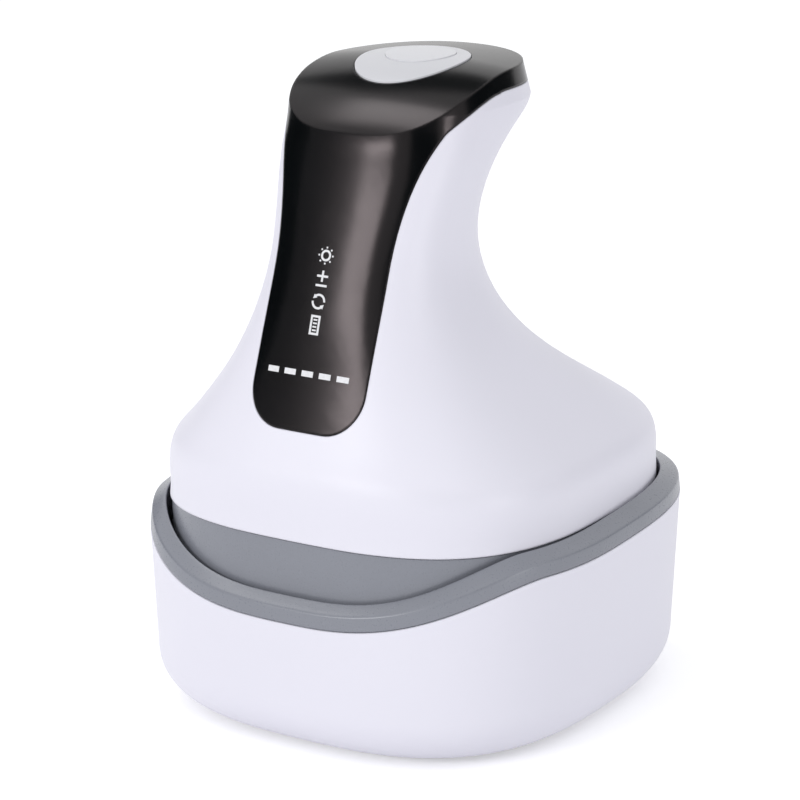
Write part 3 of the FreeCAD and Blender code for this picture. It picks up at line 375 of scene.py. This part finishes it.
@dataclass(frozen=True)
class ClearResin:
    """Frosted clear plastic for lamps and the light guide."""

    name: str
    colour: Colour
    clear: float = 0.6
    frost_scale: float = 900.0

    def material(self) -> bpy.types.Material:
        """Builds the material.

        Returns:
            The finished material.
        """
        sheet = NodeSheet(self.name)
        frost = sheet.noise(self.frost_scale, 3.0)
        colour = sheet.tint(sheet.spread(frost, 0.0, 1.0), shaded(self.colour, 0.94), self.colour)
        sheet.link(colour, sheet.shader.inputs["Base Color"])
        sheet.link(sheet.spread(frost, 0.25, 0.42), sheet.shader.inputs["Roughness"])
        sheet.shader.inputs["Transmission Weight"].default_value = self.clear
        return sheet.material


@dataclass(frozen=True)
class PrintedInk:
    """Screen-printed ink with slightly uneven cover."""

    name: str
    colour: Colour
    cover_scale: float = 1500.0

    def material(self) -> bpy.types.Material:
        """Builds the material.

        Returns:
            The finished material.
        """
        sheet = NodeSheet(self.name)
        cover = sheet.noise(self.cover_scale, 4.0)
        thick = sheet.spread(cover, 0.0, 1.0)
        colour = sheet.tint(thick, shaded(self.colour, 0.9), shaded(self.colour, 1.03))
        sheet.link(colour, sheet.shader.inputs["Base Color"])
        sheet.link(sheet.spread(cover, 0.38, 0.52), sheet.shader.inputs["Roughness"])
        sheet.shader.inputs["Specular IOR Level"].default_value = 0.3
        return sheet.material


FINISHES: Dict[Slot, Finish] = {
    Slot.WHITE: MouldedPlastic("satin_white_plastic", (0.79, 0.778, 0.858), roughness=0.42, cloud=0.006,
                               edge=0.0006),
    Slot.GREY: MouldedPlastic("matte_grey_plastic", (0.228, 0.237, 0.272), roughness=0.3, cloud=0.02,
                              grain=1900.0, grain_height=0.00004, specular=0.55),
    Slot.BLACK: SmokedGloss("smoked_black_plastic", (0.0020, 0.0028, 0.0033), edge=0.0007),
    Slot.LIGHT_GREY: MouldedPlastic("satin_plate_plastic", (0.68, 0.68, 0.71), roughness=0.36, cloud=0.006,
                                    grain_height=0.000008),
    Slot.BUTTON_GREY: MouldedPlastic("satin_button_plastic", (0.72, 0.72, 0.75), roughness=0.34, cloud=0.006,
                                     grain_height=0.000008),
    Slot.FINGER_RUBBER: SoftRubber("silicone_fingers", (0.60, 0.58, 0.66)),
    Slot.PAD_RUBBER: SoftRubber("foamed_seat_rubber", (0.20, 0.20, 0.22)),
    Slot.FOOT_RUBBER: SoftRubber("black_rubber", (0.025, 0.025, 0.028)),
    Slot.COVER_RUBBER: SoftRubber("white_cover_rubber", (0.72, 0.71, 0.77)),
    Slot.STEEL: TurnedMetal("turned_steel", (0.56, 0.56, 0.57)),
    Slot.BRONZE: TurnedMetal("sintered_bronze", (0.52, 0.34, 0.14), roughness=0.4),
    Slot.INNER_PLASTIC: MouldedPlastic("inner_moulding", (0.045, 0.045, 0.05), roughness=0.5, cloud=0.05),
    Slot.GEAR: MouldedPlastic("acetal_gear", (0.66, 0.62, 0.50), roughness=0.38, cloud=0.03),
    Slot.CELL: SmokedGloss("cell_wrap", (0.03, 0.10, 0.27), roughness=0.3, specular=0.4,
                           tint=(1.0, 1.0, 1.0)),
    Slot.BOARD: SolderMask("green_board", (0.012, 0.10, 0.035)),
    Slot.LAMP: ClearResin("lamp_resin", (0.86, 0.86, 0.78)),
    Slot.GUIDE: ClearResin("frosted_guide", (0.82, 0.84, 0.88)),
    Slot.SOCKET: TurnedMetal("plated_socket", (0.66, 0.66, 0.68), roughness=0.2),
}
INK = PrintedInk("panel_ink", (0.78, 0.78, 0.80))


class Wardrobe:
    """Makes each finish once and hands it to nodes and pieces."""

    def __init__(self) -> None:
        """Starts with no material made."""
        self.made: Dict[str, bpy.types.Material] = {}

    def material(self, finish: Finish) -> bpy.types.Material:
        """A finish's material, made on first use.

        Args:
            finish: One of the finish classes.

        Returns:
            The material.
        """
        if finish.name not in self.made:
            self.made[finish.name] = finish.material()
        return self.made[finish.name]

    def dress(self, thing: bpy.types.Object, finish: Finish) -> None:
        """Gives an object one finish.

        Args:
            thing: A CAD node's object or a new piece.
            finish: The finish to give it.
        """
        material = self.material(finish)
        if not thing.material_slots:
            thing.data.materials.append(material)
        for holder in thing.material_slots:
            holder.material = material

    def dress_nodes(self, nodes: Sequence[str], slot: Slot) -> None:
        """Gives CAD nodes the finish of a slot.

        Args:
            nodes: The nodes' names.
            slot: Their material slot.
        """
        for name in nodes:
            self.dress(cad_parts[name], FINISHES[slot])
            LOG.info("%s dressed as %s", name, FINISHES[slot].name)


def softened(node: str, width: float, sharp: float = 0.6) -> bmesh.types.BMesh:
    """A merged copy of a CAD node's mesh with its sharp edges rounded.

    Args:
        node: The node's name.
        width: How far the rounding reaches from each edge, in millimetres.
        sharp: Angle between faces, in radians, from which an edge is rounded.

    Returns:
        The copy, in metres.
    """
    shape = bmesh.new()
    shape.from_mesh(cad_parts[node].data)
    bmesh.ops.remove_doubles(shape, verts=shape.verts, dist=0.001 * MM)
    edges = [edge for edge in shape.edges if edge.is_manifold and edge.calc_face_angle() > sharp]
    bmesh.ops.bevel(shape, geom=edges, offset=width * MM, offset_type="OFFSET", segments=3, profile=0.5,
                    affect="EDGES", material=-1, clamp_overlap=True)
    return shape


def shade_softly(piece: bpy.types.Object) -> None:
    """Smooth shading that keeps large faces flat beside their rounded edges.

    Args:
        piece: A piece with rounded edges.
    """
    for face in piece.data.polygons:
        face.use_smooth = True
    weighted = piece.modifiers.new("even_normals", "WEIGHTED_NORMAL")
    weighted.keep_sharp = True


def add_piece(name: str, shape: bmesh.types.BMesh, body: str) -> bpy.types.Object:
    """Turns a finished bmesh into a piece that moves with a body.

    Args:
        name: The piece's name.
        shape: Its geometry in metres, which is freed.
        body: The CAD body that it rides on.

    Returns:
        The new object.
    """
    bmesh.ops.recalc_face_normals(shape, faces=shape.faces)
    mesh = bpy.data.meshes.new(name)
    shape.to_mesh(mesh)
    shape.free()
    piece = bpy.data.objects.new(name, mesh)
    bpy.context.scene.collection.objects.link(piece)
    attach(piece, body)
    LOG.info("%s: %d faces on %s", name, len(mesh.polygons), body)
    return piece


@dataclass
class PanelMarks:
    """The four printed signs and the row of level bars on the black panel."""

    across: float = -0.3
    sun_height: float = 112.2
    steps_height: float = 106.8
    cycle_height: float = 102.4
    charge_height: float = 97.4
    bars_height: float = 87.0
    neck_height: float = 98.0
    neck_front: float = -42.4
    waist_height: float = 110.0
    waist_front: float = -38.5
    ink_thickness: float = 0.10
    lift: float = 0.02
    stroke: float = 0.5
    sun_radius: float = 1.05
    ray_start: float = 1.6
    ray_end: float = 1.98
    rays: int = 8
    plus_width: float = 2.9
    plus_height: float = 2.5
    steps_apart: float = 1.05
    cycle_radius: float = 1.5
    cycle_arcs: int = 2
    cycle_sweep: float = 0.76
    arrow_radius: float = 0.62
    charge_width: float = 2.5
    charge_tall: float = 4.4
    charge_rows: int = 4
    row_width: float = 1.0
    row_height: float = 0.36
    bar_count: int = 5
    bar_pitch: float = 4.6
    bar_width: float = 3.0
    bar_height: float = 1.3
    search: float = 6.0
    pieces: List[bpy.types.Object] = field(default_factory=list)

    def on_panel(self, height: float) -> Matrix:
        """Where a mark lies on the panel's sloping front.

        Args:
            height: The mark's height above the table in millimetres.

        Returns:
            The matrix from the mark's own plane, in millimetres, to the object's frame.
        """
        slope = (self.waist_front - self.neck_front) / (self.waist_height - self.neck_height)
        front = self.neck_front + slope * (height - self.neck_height)
        lean = math.atan(slope)
        stand = Matrix.Rotation(math.pi / 2 - lean, 4, "X")
        place = Matrix.Translation((self.across * MM, front * MM, height * MM))
        return place @ stand @ Matrix.Scale(MM, 4)

    def raised(self, shape: bmesh.types.BMesh) -> None:
        """Gives a flat mark the thickness of its ink.

        Args:
            shape: Flat faces in the mark's plane.
        """
        bmesh.ops.recalc_face_normals(shape, faces=shape.faces)
        grown = bmesh.ops.extrude_face_region(shape, geom=list(shape.faces), use_keep_orig=True)
        tops = [part for part in grown["geom"] if isinstance(part, bmesh.types.BMVert)]
        bmesh.ops.translate(shape, verts=tops, vec=(0, 0, self.ink_thickness))
        bmesh.ops.translate(shape, verts=shape.verts, vec=(0, 0, self.lift - self.ink_thickness / 2))

    def bar(self, shape: bmesh.types.BMesh, width: float, height: float, place: Matrix) -> None:
        """Adds one flat rectangle.

        Args:
            shape: The mark that it belongs to.
            width: Across, in millimetres.
            height: Upright, in millimetres.
            place: Where it lies in the mark's plane.
        """
        size = Matrix.Diagonal((width, height, 1, 1))
        bmesh.ops.create_grid(shape, x_segments=1, y_segments=1, size=0.5, matrix=place @ size)

    def arc(self, shape: bmesh.types.BMesh, radius: float, start: float, sweep: float) -> None:
        """Adds a flat bow of the marks' stroke width.

        Args:
            shape: The mark that it belongs to.
            radius: Middle radius in millimetres.
            start: First angle in radians.
            sweep: Angle swept in radians.
        """
        inner = shape.verts.new((radius - self.stroke / 2, 0, 0))
        outer = shape.verts.new((radius + self.stroke / 2, 0, 0))
        edge = shape.edges.new((inner, outer))
        bmesh.ops.rotate(shape, verts=[inner, outer], cent=(0, 0, 0), matrix=Matrix.Rotation(start, 3, "Z"))
        full = abs(sweep) > 2 * math.pi - 0.001
        bmesh.ops.spin(shape, geom=[inner, outer, edge], cent=(0, 0, 0), axis=(0, 0, 1), angle=sweep,
                       steps=max(6, int(abs(sweep) * 8)), use_merge=full)

    def lay(self, shape: bmesh.types.BMesh, place: Matrix) -> None:
        """Puts a raised mark on the panel and bends it to the panel's face.

        Args:
            shape: The raised mark in its own plane, in millimetres.
            place: The matrix from that plane to the object's frame.
        """
        panel = BVHTree.FromObject(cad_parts["front_panel"], bpy.context.evaluated_depsgraph_get())
        outward = (place.to_3x3() @ Vector((0, 0, 1))).normalized()
        for vert in shape.verts:
            foot = place @ Vector((vert.co.x, vert.co.y, 0.0))
            spot = panel.ray_cast(foot + outward * self.search * MM, -outward)[0]
            vert.co = (spot or foot) + outward * vert.co.z * MM

    def finish(self, name: str, shape: bmesh.types.BMesh, height: float) -> None:
        """Raises a mark, puts it on the panel and keeps it.

        Args:
            name: The piece's name.
            shape: The flat mark.
            height: Its height above the table in millimetres.
        """
        self.raised(shape)
        self.lay(shape, self.on_panel(height))
        self.pieces.append(add_piece(name, shape, "massager"))

    def build(self) -> None:
        """Makes the five marks."""
        sun = bmesh.new()
        self.arc(sun, self.sun_radius, 0.0, 2 * math.pi)
        for turn in range(self.rays):
            spoke = Matrix.Rotation(2 * math.pi * turn / self.rays, 4, "Z")
            middle = (self.ray_start + self.ray_end) / 2
            self.bar(sun, self.ray_end - self.ray_start, self.ray_end - self.ray_start,
                     spoke @ Matrix.Translation((middle, 0, 0)))
        self.finish("sun_mark", sun, self.sun_height)

        steps = bmesh.new()
        upper = Matrix.Translation((0, self.steps_apart, 0))
        lower = Matrix.Translation((0, -self.steps_apart, 0))
        self.bar(steps, self.plus_width, self.stroke, upper)
        arm = (self.plus_height - self.stroke) / 2
        for side in (-1, 1):
            shift = Matrix.Translation((0, side * (arm + self.stroke) / 2, 0))
            self.bar(steps, self.stroke, arm, upper @ shift)
        self.bar(steps, self.plus_width, self.stroke, lower)
        self.finish("steps_mark", steps, self.steps_height)

        cycle = bmesh.new()
        share = 2 * math.pi / self.cycle_arcs
        for turn in range(self.cycle_arcs):
            start = turn * share
            sweep = share * self.cycle_sweep
            self.arc(cycle, self.cycle_radius, start, sweep)
            head = bmesh.ops.create_circle(cycle, cap_ends=True, segments=3, radius=self.arrow_radius)
            turned = Matrix.Rotation(start + sweep, 4, "Z") @ Matrix.Translation((self.cycle_radius, 0, 0))
            bmesh.ops.transform(cycle, matrix=turned, verts=head["verts"])
        self.finish("cycle_mark", cycle, self.cycle_height)

        charge = bmesh.new()
        wide = (self.charge_width - self.stroke) / 2
        tall = (self.charge_tall - self.stroke) / 2
        for side in (-1, 1):
            self.bar(charge, self.stroke, self.charge_tall, Matrix.Translation((side * wide, 0, 0)))
            self.bar(charge, 2 * wide - self.stroke, self.stroke, Matrix.Translation((0, side * tall, 0)))
        for row in range(self.charge_rows):
            up = (row - (self.charge_rows - 1) / 2) * 2 * tall / (self.charge_rows + 1)
            self.bar(charge, self.row_width, self.row_height, Matrix.Translation((0, up, 0)))
        self.finish("charge_mark", charge, self.charge_height)

        bars = bmesh.new()
        for step in range(self.bar_count):
            offset = (step - (self.bar_count - 1) / 2) * self.bar_pitch
            self.bar(bars, self.bar_width, self.bar_height, Matrix.Translation((offset, 0, 0)))
        self.finish("level_bars", bars, self.bars_height)

    def dress(self, wardrobe: Wardrobe) -> None:
        """Prints the marks in pale ink."""
        for piece in self.pieces:
            wardrobe.dress(piece, INK)


@dataclass
class StorageBase:
    """The white cup, its grey rim, seat pads and feet."""

    rim_softness: float = 0.5
    rim: Optional[bpy.types.Object] = None

    def build(self) -> None:
        """Rounds the rim's edges; the other CAD nodes already have their shape."""
        self.rim = add_piece("soft_rim", softened("base_rim", self.rim_softness), "base")
        shade_softly(self.rim)
        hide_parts("base_rim")

    def dress(self, wardrobe: Wardrobe) -> None:
        """Gives the base its finishes."""
        wardrobe.dress_nodes(["base_shell"], Slot.WHITE)
        wardrobe.dress(self.rim, FINISHES[Slot.GREY])
        wardrobe.dress_nodes(["base_rim"], Slot.GREY)
        wardrobe.dress_nodes(["seat_pads"], Slot.PAD_RUBBER)
        wardrobe.dress_nodes(["base_feet"], Slot.FOOT_RUBBER)


@dataclass
class Grip:
    """The white grip, its black panel, the grey tray, the button and the port cover."""

    plate_softness: float = 0.4
    button_softness: float = 0.2
    button_growth: float = 1.015
    button_y: float = 1.4
    plate: Optional[bpy.types.Object] = None
    button: Optional[bpy.types.Object] = None

    def build(self) -> None:
        """Rounds the edges of the plate and the button; the other CAD nodes already have their shape."""
        plate = softened("button_plate", self.plate_softness)
        self.plate = add_piece("soft_plate", plate, "massager")
        button = softened("power_button", self.button_softness)
        axis = Matrix.Translation((0, -self.button_y * MM, 0))
        growth = (self.button_growth, self.button_growth, 1.0)
        bmesh.ops.scale(button, vec=growth, space=axis, verts=button.verts)
        self.button = add_piece("soft_button", button, "button")
        for piece, node in ((self.plate, "button_plate"), (self.button, "power_button")):
            shade_softly(piece)
            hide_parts(node)

    def dress(self, wardrobe: Wardrobe) -> None:
        """Gives the grip its finishes."""
        wardrobe.dress_nodes(["upper_shell"], Slot.WHITE)
        wardrobe.dress_nodes(["front_panel"], Slot.BLACK)
        wardrobe.dress_nodes(["lower_housing"], Slot.GREY)
        wardrobe.dress_nodes(["button_plate"], Slot.LIGHT_GREY)
        wardrobe.dress(self.plate, FINISHES[Slot.LIGHT_GREY])
        wardrobe.dress_nodes(["power_button"], Slot.BUTTON_GREY)
        wardrobe.dress(self.button, FINISHES[Slot.BUTTON_GREY])
        wardrobe.dress_nodes(["port_cover"], Slot.COVER_RUBBER)


@dataclass
class Mechanism:
    """The turning heads, gears, motor, battery and boards."""

    heads: int = 4

    def build(self) -> None:
        """The CAD nodes already have their shape."""

    def dress(self, wardrobe: Wardrobe) -> None:
        """Gives the inner pieces their finishes."""
        numbers = range(1, self.heads + 1)
        wardrobe.dress_nodes([f"head_hub_{n}" for n in numbers], Slot.GREY)
        wardrobe.dress_nodes([f"finger_pad_{n}" for n in numbers], Slot.FINGER_RUBBER)
        wardrobe.dress_nodes([f"drive_gear_{n}" for n in numbers], Slot.GEAR)
        wardrobe.dress_nodes(["idler_gear_1", "idler_gear_2"], Slot.GEAR)
        wardrobe.dress_nodes(["motor_pinion", "spindle_bushes"], Slot.BRONZE)
        steel = ["motor_shaft", "motor_can", "motor_screws", "case_screws", "board_screws", "idler_pins"]
        wardrobe.dress_nodes(steel, Slot.STEEL)
        wardrobe.dress_nodes(["spindle_seals"], Slot.FOOT_RUBBER)
        inner = ["gear_plate", "motor_cap", "battery_holder", "switch_body", "switch_plunger"]
        wardrobe.dress_nodes(inner, Slot.INNER_PLASTIC)
        wardrobe.dress_nodes(["battery_cell"], Slot.CELL)
        wardrobe.dress_nodes(["control_board", "switch_board", "charge_board"], Slot.BOARD)
        wardrobe.dress_nodes(["indicator_leds"], Slot.LAMP)
        wardrobe.dress_nodes(["light_guide"], Slot.GUIDE)
        wardrobe.dress_nodes(["charge_socket"], Slot.SOCKET)


@dataclass(frozen=True)
class SoftBox:
    """A rectangular soft lamp, in metres and watts."""

    name: str
    place: Point
    size: Size
    watts: float
    aim: Point = MIDDLE


@dataclass(frozen=True)
class DarkBoard:
    """A dark board that the gloss panel mirrors, in metres; its shade is the light it sends back."""

    name: str
    place: Point
    size: Size
    aim: Point = MIDDLE
    shade: float = 0.004


SOFT_BOXES = (
    SoftBox("key_box", (-0.36, -1.24, 0.52), (0.56, 0.17), 4.6),
    SoftBox("left_box", (-0.62, 0.05, 1.35), (0.36, 0.36), 2.1),
    SoftBox("fill_box", (0.68, -0.81, 1.13), (0.8, 0.8), 1.5),
    SoftBox("right_box", (1.2, -0.16, 0.19), (0.3, 0.1), 1.3, aim=(0, 0, 0.14)),
)
DARK_BOARDS = (
    DarkBoard("left_card", (-1.0, -0.95, 0.5), (0.7, 1.0), shade=0.4),
    DarkBoard("left_flag", (-1.0, -0.09, 0.12), (1.1, 0.7)),
    DarkBoard("front_flag", (0.98, -1.01, 0.61), (1.2, 0.9)),
    DarkBoard("back_flag", (0.92, 0.92, 0.25), (1.2, 0.6)),
    DarkBoard("top_flag", (-0.68, 0.70, 1.15), (0.56, 0.46)),
)


@dataclass
class Studio:
    """Pale floor, white surround, soft lamps and the photograph's camera."""

    azimuth: float = 31.86
    elevation: float = 15.95
    distance: float = 0.700
    lens: float = 133.97
    aim: Point = (0.0, 0.0, 0.070)
    shift: Size = (-0.022, -0.0006)
    sensor: float = 36.0
    floor_half: float = 3.0
    floor_colour: Colour = (0.93, 0.93, 0.94)
    floor_glow: float = 0.35
    surround_tint: Colour = (0.97, 0.98, 1.0)
    world_light: float = 0.70

    def place_camera(self) -> None:
        """Puts the camera where the photograph was taken from."""
        turn = math.radians(self.azimuth)
        rise = math.radians(self.elevation)
        back = Vector((math.sin(turn) * math.cos(rise), -math.cos(turn) * math.cos(rise), math.sin(rise)))
        lens = bpy.data.cameras.new("photo_camera")
        lens.lens = self.lens
        lens.sensor_width = self.sensor
        lens.shift_x, lens.shift_y = self.shift
        lens.clip_start = 0.01
        camera = bpy.data.objects.new("photo_camera", lens)
        camera.location = Vector(self.aim) + back * self.distance
        camera.rotation_euler = back.to_track_quat("Z", "Y").to_euler()
        bpy.context.scene.collection.objects.link(camera)
        bpy.context.scene.camera = camera

    def shown_white(self, tree: bpy.types.NodeTree, seen: bpy.types.NodeSocket,
                    lit: bpy.types.NodeSocket, target: bpy.types.NodeSocket) -> None:
        """Shows one shader to the camera, mirrors and glass, and another to the light.

        Args:
            tree: The node tree to work in.
            seen: Shader for camera, glossy and transmission rays.
            lit: Shader for every other ray.
            target: The output socket.
        """
        path = tree.nodes.new("ShaderNodeLightPath")
        total = path.outputs["Is Camera Ray"]
        for name in ("Is Glossy Ray", "Is Transmission Ray"):
            pick = tree.nodes.new("ShaderNodeMath")
            pick.operation = "MAXIMUM"
            tree.links.new(total, pick.inputs[0])
            tree.links.new(path.outputs[name], pick.inputs[1])
            total = pick.outputs[0]
        mix = tree.nodes.new("ShaderNodeMixShader")
        tree.links.new(total, mix.inputs[0])
        tree.links.new(lit, mix.inputs[1])
        tree.links.new(seen, mix.inputs[2])
        tree.links.new(mix.outputs[0], target)

    def light_world(self) -> None:
        """A white surround that lights softly."""
        world = bpy.data.worlds.new("white_surround")
        bpy.context.scene.world = world
        world.use_nodes = True
        tree = world.node_tree
        tree.nodes.clear()
        seen = tree.nodes.new("ShaderNodeBackground")
        seen.inputs["Color"].default_value = (1.0, 1.0, 1.0, 1.0)
        lit = tree.nodes.new("ShaderNodeBackground")
        lit.inputs["Color"].default_value = (*self.surround_tint, 1.0)
        lit.inputs["Strength"].default_value = self.world_light
        out = tree.nodes.new("ShaderNodeOutputWorld")
        self.shown_white(tree, seen.outputs[0], lit.outputs[0], out.inputs["Surface"])

    def lay_floor(self) -> None:
        """A pale floor that keeps the object's soft shadow."""
        shape = bmesh.new()
        bmesh.ops.create_grid(shape, x_segments=1, y_segments=1, size=self.floor_half)
        mesh = bpy.data.meshes.new("studio_floor")
        shape.to_mesh(mesh)
        shape.free()
        floor = bpy.data.objects.new("studio_floor", mesh)
        bpy.context.scene.collection.objects.link(floor)
        sheet = NodeSheet("pale_floor")
        sheet.shader.inputs["Base Color"].default_value = (*self.floor_colour, 1.0)
        sheet.shader.inputs["Roughness"].default_value = 0.9
        sheet.shader.inputs["Specular IOR Level"].default_value = 0.0
        glow = sheet.add("ShaderNodeEmission")
        glow.inputs["Strength"].default_value = self.floor_glow
        add = sheet.add("ShaderNodeAddShader")
        sheet.link(sheet.shader.outputs[0], add.inputs[0])
        sheet.link(glow.outputs[0], add.inputs[1])
        out = sheet.tree.nodes["Material Output"]
        self.shown_white(sheet.tree, add.outputs[0], sheet.shader.outputs[0], out.inputs["Surface"])
        mesh.materials.append(sheet.material)

    def face(self, thing: bpy.types.Object, place: Point, aim: Point) -> None:
        """Puts a lamp or board in its place and turns it to what it faces.

        Args:
            thing: The lamp's or board's object.
            place: Where it goes, in metres.
            aim: The point that it faces.
        """
        thing.location = place
        thing.rotation_euler = (Vector(place) - Vector(aim)).to_track_quat("Z", "Y").to_euler()
        bpy.context.scene.collection.objects.link(thing)

    def hang_lamp(self, box: SoftBox) -> None:
        """Adds one soft box.

        Args:
            box: The lamp to hang.
        """
        lamp = bpy.data.lights.new(box.name, "AREA")
        lamp.shape = "RECTANGLE"
        lamp.size, lamp.size_y = box.size
        lamp.energy = box.watts
        self.face(bpy.data.objects.new(box.name, lamp), box.place, box.aim)

    def stand_board(self, board: DarkBoard) -> None:
        """Stands a dark board out of shot, which only mirrors see.

        Args:
            board: The board to stand.
        """
        shape = bmesh.new()
        size = Matrix.Diagonal((*board.size, 1, 1))
        bmesh.ops.create_grid(shape, x_segments=1, y_segments=1, size=0.5, matrix=size)
        mesh = bpy.data.meshes.new(board.name)
        shape.to_mesh(mesh)
        shape.free()
        thing = bpy.data.objects.new(board.name, mesh)
        thing.visible_camera = False
        thing.visible_diffuse = False
        thing.visible_shadow = False
        self.face(thing, board.place, board.aim)
        sheet = NodeSheet(board.name)
        sheet.shader.inputs["Base Color"].default_value = (board.shade, board.shade, board.shade, 1.0)
        sheet.shader.inputs["Roughness"].default_value = 1.0
        sheet.shader.inputs["Specular IOR Level"].default_value = 0.0
        mesh.materials.append(sheet.material)

    def build(self) -> None:
        """Sets the whole stage."""
        self.place_camera()
        self.light_world()
        self.lay_floor()
        for box in SOFT_BOXES:
            self.hang_lamp(box)
        for board in DARK_BOARDS:
            self.stand_board(board)
        bpy.context.scene.view_settings.view_transform = "Standard"


def main() -> None:
    """Builds and dresses every sub-assembly."""
    logging.basicConfig(level=logging.INFO, format="%(message)s")
    wardrobe = Wardrobe()
    for assembly in (StorageBase(), Grip(), PanelMarks(), Mechanism()):
        assembly.build()
        assembly.dress(wardrobe)
        LOG.info("%s done", type(assembly).__name__)
    Studio().build()


if __name__ == "__main__":
    main()
